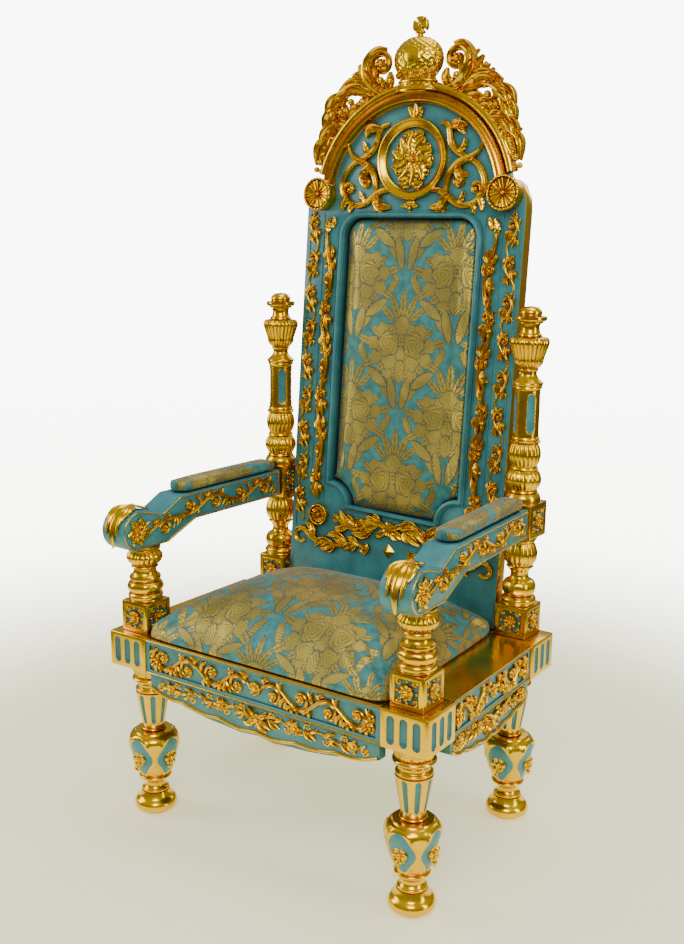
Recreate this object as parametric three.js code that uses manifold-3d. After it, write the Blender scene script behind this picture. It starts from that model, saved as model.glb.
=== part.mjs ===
// Carved and gilded throne: turned legs and posts, scroll arms, a raked arched back with a
// carved crest and crown, and an upholstered seat, back and arm pads.
// Millimetres, +Z up, the sitter faces -Y, the feet stand on z = 0.
import * as THREE from 'three';
import { mergeVertices } from 'three/addons/utils/BufferGeometryUtils.js';
import Module from 'manifold-3d';

const wasm = await Module();
wasm.setup();

// ---- driving dimensions ----
const gap = 0.3; // between pieces that touch

const seat = {
  top: 427, depth: 546, frontWidth: 800, backWidth: 771,
  railHeight: 77, railThickness: 40, corner: 102, railSetback: 4, deckThickness: 18,
};
const flute = { width: 17, height: 57, depth: 5, count: 3, pitch: 28 };
const railPanel = { margin: 11, depth: 3 };
const apron = { thickness: 22, shallow: 46, deep: 69, setback: 10, scallop: 5, endRise: 12, legRoom: 46 };

const post = {
  block: 73, blockHeight: 68, panelMargin: 9, panelDepth: 2.5,
  frontX: 343, frontY: -218, rearX: 323.5, rearY: 229, lean: 0.011,
};
const leg = { inset: 5.5, sides: 16 };
const postSides = 12;
const arm = { width: 64, underside: 617, top: 712, rear: 192, panelDepth: 2 };
const armPad = { halfWidth: 29, rear: 186, front: -132, height: 32 };

const back = {
  rake: Math.atan(0.091), frontY: 204, halfWidth: 280, thickness: 32, foot: 3.2,
  shoulder: 894, archCentre: 908, archRadius: 238,
};
const opening = {
  halfWidth: 171, bottom: 214, top: 878, cornerRadius: 45, notch: 58, depth: 20, moulding: 14, proud: 9,
};
const archMoulding = { inner: 214, outer: 236.5, proud: 15 };
const rosette = { x: 236, height: 927, radius: 36.5, proud: 31, petals: 8 };
const medallion = { height: 1002, ringOuter: 87, ringInner: 70, proud: 14 };
const crown = { height: 1210, radius: 58, halfHeight: 47, depth: 38, collar: 50, crossArm: 20, top: 1300 };
const crest = { thickness: 24, volute: 43 };

const cushion = { frontHalf: 302, rearHalf: 283, front: -256, rear: 199, edge: 26, crown: 101 };

// ---- colours ----
const finish = {
  gilding: { color: 0xd79a1e, metalness: 1, roughness: 0.24 },
  teal: { color: 0x2e8489, metalness: 0, roughness: 0.42 },
  brocade: { color: 0x4b8a7e, metalness: 0, roughness: 0.7 },
  carcase: { color: 0x5a3d22, metalness: 0, roughness: 0.8 },
};

const throne = new THREE.Group();

// ---- small helpers ----
const v2 = (x, y) => new THREE.Vector2(x, y);
const range = (n) => Array.from({ length: n }, (_, i) => i);
const steps = (n, f) => range(n + 1).map((i) => f(i / n));
const taper = (seat.frontWidth - seat.backWidth) / 2 / seat.depth; // of each side of the seat
const sideX = (y) => seat.frontWidth / 2 - (y + seat.depth / 2) * taper;

function toSolid(geometry) {
  const bare = geometry.index ? geometry.toNonIndexed() : geometry.clone();
  bare.deleteAttribute('normal');
  bare.deleteAttribute('uv');
  const merged = mergeVertices(bare, 1e-3);
  return new wasm.Manifold(new wasm.Mesh({
    numProp: 3,
    vertProperties: new Float32Array(merged.attributes.position.array),
    triVerts: new Uint32Array(merged.index.array),
  }));
}

function toGeometry(solid) {
  const mesh = solid.getMesh();
  const geometry = new THREE.BufferGeometry();
  geometry.setAttribute('position', new THREE.BufferAttribute(new Float32Array(mesh.vertProperties), 3));
  geometry.setIndex(new THREE.BufferAttribute(new Uint32Array(mesh.triVerts), 1));
  geometry.computeVertexNormals();
  return geometry;
}

const join = (pieces) => toGeometry(pieces.map(toSolid).reduce((sum, piece) => sum.add(piece)));
const cut = (piece, tools) => toGeometry(
  tools.map(toSolid).reduce((rest, tool) => rest.subtract(tool), toSolid(piece)));

function box(x0, x1, y0, y1, z0, z1) {
  const geometry = new THREE.BoxGeometry(x1 - x0, y1 - y0, z1 - z0);
  return geometry.translate((x0 + x1) / 2, (y0 + y1) / 2, (z0 + z1) / 2);
}

// a plan outline raised from z0 to z1
function prism(points, z0, z1) {
  const options = { depth: z1 - z0, bevelEnabled: false };
  return new THREE.ExtrudeGeometry(new THREE.Shape(points), options).translate(0, 0, z0);
}

// an outline drawn in x and z, reaching from y = front back to y = rear
function board(points, front, rear, holes = []) {
  const shape = new THREE.Shape(points);
  shape.holes = holes.map((hole) => new THREE.Path(hole));
  const geometry = new THREE.ExtrudeGeometry(shape, { depth: rear - front, bevelEnabled: false });
  return geometry.rotateX(Math.PI / 2).translate(0, rear, 0);
}

// closed body through rings of equal count, from the first ring to the last
function loft(rings) {
  const count = rings[0].length;
  const centre = (ring) => ring.reduce((sum, p) => sum.add(p), new THREE.Vector3()).divideScalar(count);
  const points = [...rings.flat(), centre(rings[0]), centre(rings.at(-1))];
  const index = [];
  range(rings.length - 1).forEach((r) => range(count).forEach((i) => {
    const a = r * count + i;
    const b = r * count + ((i + 1) % count);
    index.push(a, b, b + count, a, b + count, a + count);
  }));
  const last = (rings.length - 1) * count;
  range(count).forEach((i) => {
    const j = (i + 1) % count;
    index.push(rings.length * count, j, i, rings.length * count + 1, last + i, last + j);
  });
  return new THREE.BufferGeometry().setFromPoints(points).setIndex(index);
}

// turned work about the Z axis; carve(angle, height) scales the radius
function turned(profile, carve = () => 1, sides = leg.sides) {
  const geometry = new THREE.LatheGeometry(profile.map(([r, z]) => v2(r, z)), sides).rotateX(Math.PI / 2);
  const place = geometry.attributes.position;
  range(place.count).forEach((i) => {
    const factor = carve(Math.atan2(place.getY(i), place.getX(i)), place.getZ(i));
    place.setXY(i, place.getX(i) * factor, place.getY(i) * factor);
  });
  return geometry;
}

// turned work about the Y axis, in front of the back: profile of [radius, stand-off]
const turnedOnBack = (profile, x, height, sides, carve) => (
  turned(profile, carve, sides).rotateX(Math.PI / 2).translate(x, 0, height));

// a rounded swelling from z0 to z1, from the edge radius out to the belly radius
const bead = (z0, z1, edge, belly, n = 4) => (
  steps(n, (t) => [edge + (belly - edge) * Math.sin(Math.PI * t), z0 + (z1 - z0) * t]));

// lobes or flutes: count of them round the axis, between two heights
const lobes = (count, depth, z0, z1) => (angle, z) => (
  z > z0 && z < z1 ? 1 - depth * (0.5 + 0.5 * Math.cos(count * angle)) : 1);

function add(name, geometry, look, parent = throne) {
  const mesh = new THREE.Mesh(geometry, new THREE.MeshStandardMaterial(finish[look]));
  mesh.name = name;
  parent.add(mesh);
  return mesh;
}

const hands = [['left', -1], ['right', 1]];

// ---- seat frame ----
// round-ended upright groove, centred on the origin, cutting toward +Y
function fluteTool() {
  const r = flute.width / 2;
  const h = flute.height / 2 - r;
  const arc = (centre, start) => steps(3, (t) => {
    const a = start + Math.PI * t;
    return v2(r * Math.cos(a), centre + r * Math.sin(a));
  });
  return board([...arc(h, 0), ...arc(-h, Math.PI)], -flute.depth, flute.depth);
}

function cornerBlock(side, end) {
  const y0 = end < 0 ? -seat.depth / 2 : seat.depth / 2 - seat.corner;
  const y1 = y0 + seat.corner;
  const outerEnd = end * (seat.depth / 2);
  const inner = sideX(outerEnd) - seat.corner;
  const plan = [v2(inner, y0), v2(sideX(y0), y0), v2(sideX(y1), y1), v2(inner, y1)];
  const block = prism(plan.map((p) => v2(p.x * side, p.y)), seat.top - seat.railHeight, seat.top);
  const middle = seat.top - seat.railHeight / 2;
  const offsets = range(flute.count).map((i) => (i - (flute.count - 1) / 2) * flute.pitch);
  const onEnd = offsets.map((o) => (
    fluteTool().translate(side * (inner + seat.corner / 2) + o, outerEnd, middle)));
  const onSide = offsets.map((o) => {
    const y = (y0 + y1) / 2 + o;
    return fluteTool().rotateZ(Math.PI / 2 + side * Math.atan(taper)).translate(side * sideX(y), y, middle);
  });
  return cut(block, end < 0 ? [...onEnd, ...onSide] : onSide);
}

for (const [hand, side] of hands) {
  add(`corner_block_front_${hand}`, cornerBlock(side, -1), 'gilding');
  add(`corner_block_rear_${hand}`, cornerBlock(side, 1), 'gilding');
}

const railBottom = seat.top - seat.railHeight;
const frontInner = sideX(-seat.depth / 2) - seat.corner - gap;
const rearInner = sideX(seat.depth / 2) - seat.corner - gap;
const frontFace = -seat.depth / 2 + seat.railSetback;
const railEnd = seat.depth / 2 - seat.corner - gap;

const panelBottom = railBottom + railPanel.margin;
const panelTop = seat.top - railPanel.margin;
const panelEnd = frontInner - railPanel.margin;
const thick = seat.railThickness;
const frontRail = box(-frontInner, frontInner, frontFace, frontFace + thick, railBottom, seat.top);
const frontPanel = box(
  -panelEnd, panelEnd, frontFace - 1, frontFace + railPanel.depth, panelBottom, panelTop);
add('front_rail', cut(frontRail, [frontPanel]), 'teal');
const backFace = seat.depth / 2 - seat.railSetback;
add('back_rail', box(-rearInner, rearInner, backFace - thick, backFace, railBottom, seat.top), 'teal');

// side rails follow the taper of the seat
function sideStrip(side, y0, y1, outer, inner, z0, z1) {
  const plan = [
    v2(sideX(y0) - inner, y0), v2(sideX(y0) - outer, y0),
    v2(sideX(y1) - outer, y1), v2(sideX(y1) - inner, y1),
  ];
  return prism(plan.map((p) => v2(p.x * side, p.y)), z0, z1);
}
for (const [hand, side] of hands) {
  const outer = seat.railSetback;
  const end = railEnd - railPanel.margin;
  const rail = sideStrip(side, -railEnd, railEnd, outer, outer + seat.railThickness, railBottom, seat.top);
  const panel = sideStrip(side, -end, end, outer - 1, outer + railPanel.depth, panelBottom, panelTop);
  add(`side_rail_${hand}`, cut(rail, [panel]), 'teal');
}

// deck under the cushion, notched round the corner blocks
const deckFront = frontFace + seat.railThickness + gap;
const deckRear = backFace - seat.railThickness - gap;
const deckSide = (y) => sideX(y) - seat.railSetback - seat.railThickness - gap;
const deckPlan = [
  v2(frontInner, deckFront), v2(frontInner, -railEnd), v2(deckSide(-railEnd), -railEnd),
  v2(deckSide(railEnd), railEnd), v2(rearInner, railEnd), v2(rearInner, deckRear),
];
add('seat_deck', prism([...deckPlan, ...deckPlan.map((p) => v2(-p.x, p.y)).reverse()],
  seat.top - seat.deckThickness, seat.top), 'carcase');

// ---- aprons: scalloped boards hung under the rails ----
// lower edge: a scroll at each end, then a swelling toward the middle
function apronDrop(u) {
  const toMiddle = 1 - Math.abs(u);
  const swell = THREE.MathUtils.smoothstep(toMiddle, 0.1, 0.8);
  const scallop = apron.scallop * Math.abs(Math.sin(3 * Math.PI * u));
  return apron.shallow + (apron.deep - apron.shallow - apron.scallop) * swell + scallop;
}
function apronBoard(halfLength) {
  const edge = steps(14, (t) => {
    const u = 1 - 2 * t;
    return v2(halfLength * u, apron.endRise * Math.abs(u) ** 8 - apronDrop(u));
  });
  return board([v2(-halfLength, -gap), v2(halfLength, -gap), ...edge], 0, apron.thickness);
}
const frontApron = apronBoard(post.frontX - leg.inset - apron.legRoom);
add('apron_front', frontApron, 'teal').position.set(0, -seat.depth / 2 + apron.setback, railBottom);
for (const [hand, side] of hands) {
  const midY = (post.rearY + post.frontY) / 2;
  const half = (post.rearY - post.frontY) / 2 - leg.inset - apron.legRoom;
  const mesh = add(`apron_${hand}`, apronBoard(half), 'teal');
  mesh.position.set(side * (sideX(midY) - apron.setback), midY, railBottom);
  mesh.rotation.z = side * (Math.PI / 2 + Math.atan(taper));
}

// ---- turned legs ----
const legProfile = [
  [0, 0], [33, 0], [46.5, 18], [46.5, 34], [31, 48], [22, 62], [29, 80],
  [48, 136], [55.5, 170], [48, 189], [22, 197], [25, 210], [36, 268], [39, 280], [33, 296],
  [43, 326], [38, railBottom - gap], [0, railBottom - gap],
];
const legCarving = lobes(8, 0.2, 209, 269);
const ends = [['front', post.frontX, post.frontY, 1], ['rear', post.rearX, post.rearY, -1]];
for (const [hand, side] of hands) {
  for (const [end, x, y, inward] of ends) {
    const mesh = add(`leg_${end}_${hand}`, turned(legProfile, legCarving), 'gilding');
    mesh.position.set(side * (x - leg.inset), y + inward * leg.inset, 0);
  }
}

// ---- posts ----
// square block with a sunk panel on each side
function panelledBlock(size, z0, z1) {
  const half = size / 2;
  const m = post.panelMargin;
  const tools = range(4).map((i) => (
    box(m - half, half - m, -half - 1, post.panelDepth - half, z0 + m, z1 - m).rotateZ((i * Math.PI) / 2)));
  return cut(box(-half, half, -half, half, z0, z1), tools);
}

const postFoot = [[0, 60], [37, 60], [37, 79]];
const armRest = arm.underside - seat.top - gap;
const frontTurning = [
  ...postFoot, ...bead(86, 110, 30, 37.7, 2), [34, 120], [25, 132], [25, 142],
  [38.5, 166], [30, 179], [34, 185], [34, armRest], [0, armRest],
];
const frontCarving = lobes(6, 0.14, 150, 172);
for (const [hand, side] of hands) {
  const stem = turned(frontTurning, frontCarving, postSides);
  const shape = join([panelledBlock(post.block, gap, post.blockHeight), stem]);
  add(`front_post_${hand}`, shape, 'gilding').position.set(side * post.frontX, post.frontY, seat.top);
}

const armBlock = { size: 76, bottom: 218, top: 292 };
const rearLower = [
  ...postFoot, ...bead(88, 120, 29, 35, 2), [19, 134], [19, 144],
  ...bead(150, 206, 22, 35, 3), [33, 212], [33, 224], [0, 224],
];
const finial = [
  [0, 286], [36, 286], [36, 312], ...bead(318, 360, 29, 36, 2), ...bead(372, 416, 25, 32.5, 3),
  [26.3, 440], [26.3, 518], [26.3, 534], [31, 543], [17.5, 560], [17.5, 572], [28.7, 584], [40.6, 628],
  [23.5, 637], [20, 664], [33, 670], [33, 680], [16, 684], [16, 694], [0, 694],
];
const rearCarving = (angle, z) => (
  lobes(6, 0.16, 160, 200)(angle, z) * lobes(6, 0.14, 376, 412)(angle, z)
  * lobes(4, 0.18, 438, 520)(angle, z) * lobes(6, 0.14, 586, 630)(angle, z));
for (const [hand, side] of hands) {
  const shape = join([
    panelledBlock(post.block, 0, post.blockHeight), turned(rearLower, rearCarving, postSides),
    panelledBlock(armBlock.size, armBlock.bottom, armBlock.top), turned(finial, rearCarving, postSides),
  ]);
  const mesh = add(`rear_post_${hand}`, shape, 'gilding');
  mesh.position.set(side * post.rearX, post.rearY, seat.top + 0.8);
  mesh.rotation.x = -post.lean;
}

// ---- arms: level behind, an S-shaped drop, and a rounded scroll in front ----
const armMiddle = (post.frontY + post.rearY) / 2;
const armRound = { y: -262, z: 659, ry: 44, rz: 43 };
const armNose = steps(8, (t) => {
  const a = Math.PI * (0.42 + 0.98 * t);
  return [armRound.y + armRound.ry * Math.cos(a), armRound.z + armRound.rz * Math.sin(a)];
});
const armOutline = [
  [arm.rear, 653], [arm.rear, arm.top], [-139, arm.top + 1], [-194, 683], [-214, 688], ...armNose,
  [-176, arm.underside], [-91, 652],
].map(([y, z]) => [y, Math.max(z, arm.underside)]);

// a side outline in y and z, given a width across x
function sideBoard(outline, x0, x1) {
  const shape = new THREE.Shape(outline.map(([y, z]) => v2(y, z)));
  const geometry = new THREE.ExtrudeGeometry(shape, { depth: x1 - x0, bevelEnabled: false });
  return geometry.rotateX(Math.PI / 2).rotateZ(Math.PI / 2).translate(x0, 0, 0);
}
const inwards = ([y, z]) => [armMiddle + (y - armMiddle) * 0.965 - 3, 672 + (z - 672) * 0.8];

// gilded leaf that wraps over the nose of the arm, widest at the front
const leafPath = [
  [-168, 702], [-196, 689.5], [-226, 696], [-262, 707], [-292, 694], [-309, 666], [-306, 640],
];
const leafHalfWidth = [5, 17, 12, 16, 26, 22, 4];
function armLeaf() {
  const rings = leafPath.map(([y, z], i) => {
    const before = leafPath[Math.max(i - 1, 0)];
    const after = leafPath[Math.min(i + 1, leafPath.length - 1)];
    const along = v2(after[0] - before[0], after[1] - before[1]).normalize();
    const out = v2(along.y, -along.x);
    const low = 1.2;
    const high = 1.2 + 6 * Math.sin(Math.PI * ((i + 0.6) / leafPath.length));
    const w = leafHalfWidth[i];
    return [[-w, low], [w, low], [w * 0.6, high * 0.8], [0, high], [-w * 0.6, high * 0.8]].map(([x, o]) => (
      new THREE.Vector3(x, y + out.x * o, z + out.y * o)));
  });
  return loft(rings);
}

// arched cross-sections along the pad, drawn in at the rounded front
function padOnArm() {
  const length = armPad.rear - armPad.front;
  return loft([0, 0.02, 0.07, 0.2, 0.5, 0.85, 0.97, 1].map((t) => {
    const ease = Math.min(1, Math.sqrt(t / 0.12 + 0.15), Math.sqrt((1 - t) / 0.05 + 0.5));
    const w = armPad.halfWidth * ease;
    const h = armPad.height * ease;
    const y = armPad.front + length * t;
    return steps(6, (s) => {
      const a = Math.PI * s;
      return new THREE.Vector3(-w * Math.cos(a), y, arm.top + 2 + h * Math.sin(a) ** 0.6);
    });
  }));
}

for (const [hand, side] of hands) {
  const group = new THREE.Group();
  group.position.set((side * (post.frontX + post.rearX)) / 2, armMiddle, 0);
  group.rotation.z = side * Math.atan((post.frontX - post.rearX) / (post.rearY - post.frontY));
  throne.add(group);
  const half = arm.width / 2;
  const sunk = armOutline.map(inwards);
  const shape = cut(sideBoard(armOutline, -half, half), [
    sideBoard(sunk, -half - 1, -half + arm.panelDepth), sideBoard(sunk, half - arm.panelDepth, half + 1),
  ]);
  add(`arm_${hand}`, shape.translate(0, -armMiddle, 0), 'teal', group);
  add(`arm_leaf_${hand}`, armLeaf().translate(0, -armMiddle, 0), 'gilding', group);
  add(`arm_pad_${hand}`, padOnArm().translate(0, -armMiddle, 0), 'brocade', group);
}

// ---- seat cushion: a crowned trapezoid ----
function seatCushion() {
  const around = 24;
  const ring = (shrink, z) => range(around).map((i) => {
    const a = (2 * Math.PI * (i + 0.5)) / around;
    const squared = (c) => Math.sign(c) * Math.abs(c) ** 0.28;
    const depth = ((1 + squared(Math.sin(a))) / 2 - 0.5) * shrink + 0.5;
    const y = cushion.front + (cushion.rear - cushion.front) * depth;
    const half = THREE.MathUtils.lerp(cushion.frontHalf, cushion.rearHalf, depth);
    return new THREE.Vector3(half * squared(Math.cos(a)) * shrink, y, seat.top + z);
  });
  const rise = cushion.crown - cushion.edge;
  const dome = [0.9, 0.74, 0.52, 0.26].map((s) => ring(s, cushion.edge + rise * (1 - s ** 2.2) ** 0.8));
  return loft([ring(0.985, gap), ring(1, cushion.edge / 2), ring(0.985, cushion.edge), ...dome]);
}
add('seat_cushion', seatCushion(), 'brocade');

// ---- the back: everything on it is drawn on the raked front face, y = 0, height up the slope ----
const backGroup = new THREE.Group();
backGroup.position.set(0, back.frontY, seat.top);
backGroup.rotation.x = -back.rake;
throne.add(backGroup);
const addToBack = (name, geometry, look) => add(name, geometry, look, backGroup);

// upholstery opening: round upper corners, quarter-round bites out of the lower ones
function openingOutline(grow) {
  const r = opening.cornerRadius + grow;
  const n = opening.notch - grow;
  const ease = Math.asin(grow / n);
  const topArc = steps(4, (t) => {
    const a = (t * Math.PI) / 2;
    return [opening.halfWidth + grow - r + r * Math.cos(a), opening.top + grow - r + r * Math.sin(a)];
  });
  const bite = steps(4, (t) => {
    const a = THREE.MathUtils.lerp(Math.PI + ease, Math.PI / 2 - ease, t);
    return [opening.halfWidth + n * Math.cos(a), opening.bottom + n * Math.sin(a)];
  });
  const right = [...bite, ...topArc];
  return [...right, ...right.map(([x, z]) => [-x, z]).reverse()].map(([x, z]) => v2(x, z));
}

// outline of the board: straight sides, rounded shoulders, a round arch
const meet = Math.acos((rosette.x - 4) / back.archRadius);
const shoulderTop = back.archCentre + back.archRadius * Math.sin(meet);
const shoulder = steps(3, (t) => {
  const a = (t * Math.PI) / 2;
  return v2(rosette.x - 4 + (back.halfWidth - rosette.x + 4) * Math.cos(a),
    back.shoulder + (shoulderTop - back.shoulder) * Math.sin(a));
});
const arch = steps(16, (t) => {
  const a = meet + (Math.PI - 2 * meet) * t;
  return v2(back.archRadius * Math.cos(a), back.archCentre + back.archRadius * Math.sin(a));
});
const boardOutline = [
  v2(-back.halfWidth, back.foot), v2(back.halfWidth, back.foot), ...shoulder, ...arch,
  ...shoulder.map((p) => v2(-p.x, p.y)).reverse(),
];
const recess = board(openingOutline(0), -1, opening.depth);
addToBack('back_board', cut(board(boardOutline, 0, back.thickness), [recess]), 'teal');

const padRing = (shrink, y) => openingOutline(-shrink).map((p) => new THREE.Vector3(p.x, y, p.y));
addToBack('back_pad', loft([padRing(1.5, opening.depth - gap), padRing(1.5, 4), padRing(16, -4)]), 'brocade');

const mouldingHole = openingOutline(0.5).reverse();
const panelMoulding = board(openingOutline(opening.moulding), -opening.proud, -gap, [mouldingHole]);
addToBack('panel_moulding', panelMoulding, 'teal');

// rosettes on round bosses, where the arch springs
const petal = lobes(rosette.petals, 0.14, rosette.proud - 12, rosette.proud + 1);
const rosetteProfile = [
  [0, gap], [rosette.radius - 2, gap], [rosette.radius, 20], [rosette.radius, 26],
  [26, rosette.proud], [12, rosette.proud - 6], [0, rosette.proud],
];
for (const [hand, side] of hands) {
  const shape = turnedOnBack(rosetteProfile, side * rosette.x, rosette.height, 16, petal);
  addToBack(`rosette_${hand}`, shape, 'gilding');
}
const rosetteRoom = hands.map(([, side]) => (
  turnedOnBack([[0, -40], [rosette.radius + 0.4, -40], [rosette.radius + 0.4, 40], [0, 40]],
    side * rosette.x, rosette.height, 20)));

// gilded arch moulding: a full ring, cut off at the springing
const ringProfile = (inner, outer, proud) => {
  const middle = (inner + outer) / 2;
  const edge = proud * 0.6;
  return [[outer, gap], [outer, edge], [middle, proud], [inner, edge], [inner, gap], [outer, gap]];
};
const below = box(-300, 300, -40, 40, back.archCentre - 300, back.archCentre);
const archProfile = ringProfile(archMoulding.inner, archMoulding.outer, archMoulding.proud);
const archRing = turnedOnBack(archProfile, 0, back.archCentre, 36);
addToBack('arch_moulding', cut(archRing, [below, ...rosetteRoom]), 'gilding');

// medallion: a plain ring round a lobed carved boss
const medallionProfile = ringProfile(medallion.ringInner, medallion.ringOuter, medallion.proud);
addToBack('medallion_ring', turnedOnBack(medallionProfile, 0, medallion.height, 20), 'gilding');
const bossProfile = [[0, gap], [52, gap], [56, 5], [46, 13], [30, 12], [16, 20], [0, 23]];
addToBack('medallion', turnedOnBack(bossProfile, 0, medallion.height, 16, lobes(8, 0.08, 0, 24)), 'gilding');

// ---- carved scrolls ----
// flat spiral band: a stem that curls in from the start angle, tapering to the eye
function spiral(x, z, radius, start, turns, width, n = 9) {
  const at = (t, offset) => {
    const r = radius * (1 - 0.68 * t) + offset * (1 - 0.45 * t);
    const a = start + 2 * Math.PI * turns * t;
    return v2(x + r * Math.cos(a), z + r * Math.sin(a));
  };
  const points = [...steps(n, (t) => at(t, width / 2)), ...steps(n, (t) => at(1 - t, -width / 2))];
  return THREE.ShapeUtils.isClockWise(points) ? points.reverse() : points;
}
// pointed leaf from a root along a direction
function leafShape(x, z, angle, length, width) {
  const edge = steps(3, (t) => [length * t, (width / 2) * Math.sin(Math.PI * t ** 0.8) ** 0.8]);
  const lower = edge.slice(1, -1).map(([l, w]) => [l, -w]);
  const outline = [...lower, edge.at(-1), ...edge.slice(1, -1).reverse(), edge[0]];
  const root = v2(0, 0);
  return outline.map(([l, w]) => v2(l, w).rotateAround(root, angle).add(v2(x, z)));
}
const circle = (x, z, r, n = 12) => steps(n - 1, (t) => {
  const a = (2 * Math.PI * t * (n - 1)) / n;
  return v2(x + r * Math.cos(a), z + r * Math.sin(a));
});
const mirrored = (points, side) => (side > 0 ? points : points.map((p) => v2(-p.x, p.y)).reverse());

// spandrel foliage beside the medallion ring
for (const [hand, side] of hands) {
  const scroll = board(circle(side * 150, 948, 46), -8, -gap, [circle(side * 150, 948, 33)]);
  const leaves = [leafShape(122, 928, Math.PI + 0.14, 80, 16), leafShape(140, 982, 1.95, 80, 20)];
  const shape = join([scroll, ...leaves.map((p) => board(mirrored(p, side), -8, -gap))]);
  addToBack(`spandrel_scroll_${hand}`, shape, 'gilding');
}
addToBack('medallion_crest', join([0.8, Math.PI / 2, Math.PI - 0.8].map((a) => (
  board(leafShape(0, medallion.height + medallion.ringOuter + 4, a, 24, 14), -9, -gap)))), 'gilding');

// winding strips down both borders, and the swag below
function windingStrip(length, sway, waves, width, n) {
  const edge = (t, side) => {
    const swell = 0.65 + 0.35 * Math.abs(Math.cos(waves * Math.PI * t));
    return v2(sway * Math.sin(waves * Math.PI * t) + (side * width * swell) / 2, length * t);
  };
  return [...steps(n, (t) => edge(t, 1)), ...steps(n, (t) => edge(1 - t, -1))];
}
const border = { vineX: 208, scrollX: 254, bottom: 158, vineTop: 862, scrollTop: 886, proud: 8 };
for (const [hand, side] of hands) {
  const vine = windingStrip(border.vineTop - border.bottom - 90, 7, 8, 14, 16);
  const strip = windingStrip(border.scrollTop - border.bottom, 5, 8, 20, 16);
  const place = (points, x, z) => mirrored(points.map((p) => v2(p.x + x, p.y + z)), side);
  const carved = (points) => board(points, -border.proud, -gap);
  addToBack(`vine_strip_${hand}`, carved(place(vine, border.vineX, border.bottom + 90)), 'gilding');
  addToBack(`scroll_strip_${hand}`, carved(place(strip, border.scrollX, border.bottom)), 'gilding');
  const corner = [[265, 114], [265, 144], [240, 148], [225, 132], [48, 132], [48, 122], [235, 114]];
  addToBack(`corner_scroll_${hand}`, carved(mirrored(corner.map(([x, z]) => v2(x, z)), side)), 'gilding');
  addToBack(`small_rosette_${hand}`, turnedOnBack([[0, gap], [25, gap], [24, 6], [0, 12]],
    side * 196, 187, 12), 'gilding');
}
const swag = windingStrip(320, 4, 6, 26, 12).map((p) => v2(160 - p.y, 181 + p.x));
addToBack('flower_swag', board(swag, -10, -gap), 'gilding');
const stud = new THREE.ConeGeometry(18, 8, 4).rotateX(Math.PI);
addToBack('diamond_stud', stud.translate(0, -4 - gap, 129), 'gilding');

// ---- crest: leaves and volutes standing on the arch, with the crown in the middle ----
const archBand = (inner, outer, a0, a1) => {
  const arc = (r, from, to) => steps(10, (t) => {
    const a = from + (to - from) * t;
    return v2(r * Math.cos(a), back.archCentre + r * Math.sin(a));
  });
  return [...arc(outer, a0, a1), ...arc(inner, a1, a0)];
};
const polar = (degrees, r) => {
  const a = THREE.MathUtils.degToRad(degrees);
  return [r * Math.cos(a), back.archCentre + r * Math.sin(a)];
};
// place round the arch, root radius, direction from horizontal, length, width
const crestLeaves = [
  [19, 242, 5, 40, 34], [25, 240, 42, 62, 44], [36, 240, 56, 68, 52], [48, 240, 74, 92, 60],
  [58, 240, 98, 100, 54], [67, 242, 88, 72, 40],
];
const volute = { degrees: 71.5, r: 314 };
const crestStart = THREE.MathUtils.degToRad(16);
function crestShape() {
  const parts = [archBand(back.archRadius - 2, back.archRadius + 20, crestStart, Math.PI - crestStart)];
  for (const side of [1, -1]) {
    for (const [degrees, r, turn, length, width] of crestLeaves) {
      const [x, z] = polar(degrees, r);
      parts.push(mirrored(leafShape(x, z, THREE.MathUtils.degToRad(turn), length, width), side));
    }
    const [x, z] = polar(volute.degrees, volute.r);
    parts.push(mirrored(spiral(x, z, crest.volute - 9, -1.5, 1, 18, 11), side));
  }
  return parts.map((p) => board(p, -8, crest.thickness - 8));
}
const collarOutline = [v2(-crown.collar, 1140), v2(crown.collar, 1140), v2(44, 1174), v2(-44, 1174)];
const collar = board(collarOutline, -16, crest.thickness - 4);
const ball = turned(steps(8, (t) => [
  crown.radius * Math.sin(Math.PI * t), -crown.halfHeight * Math.cos(Math.PI * t),
])).scale(1, crown.depth / crown.radius, 1).translate(0, 2, crown.height);
const cross = [
  [6, 1250], [5, 1272], [crown.crossArm, 1276], [crown.crossArm, 1286], [6, 1288], [8, crown.top],
];
const crossOutline = [...cross, ...cross.map(([x, z]) => [-x, z]).reverse()].map(([x, z]) => v2(x, z));
const archRoom = board(steps(32, (t) => {
  const a = Math.PI * t;
  return v2((back.archRadius + gap) * Math.cos(a), back.archCentre + (back.archRadius + gap) * Math.sin(a));
}), -40, 40);
const carvedCrest = join([...crestShape(), ball, collar, board(crossOutline, -4, 6)]);
addToBack('crest', cut(carvedCrest, [archRoom]), 'gilding');

// ---- stand the throne over its origin: the middle of its box, at the floor ----
throne.updateMatrixWorld(true);
const extent = new THREE.Box3().setFromObject(throne, true);
const part = new THREE.Group();
throne.position.set(0, -(extent.min.y + extent.max.y) / 2, 0);
part.add(throne);

export default part;
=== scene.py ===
import math

import bpy
from mathutils import Matrix, Vector


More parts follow.
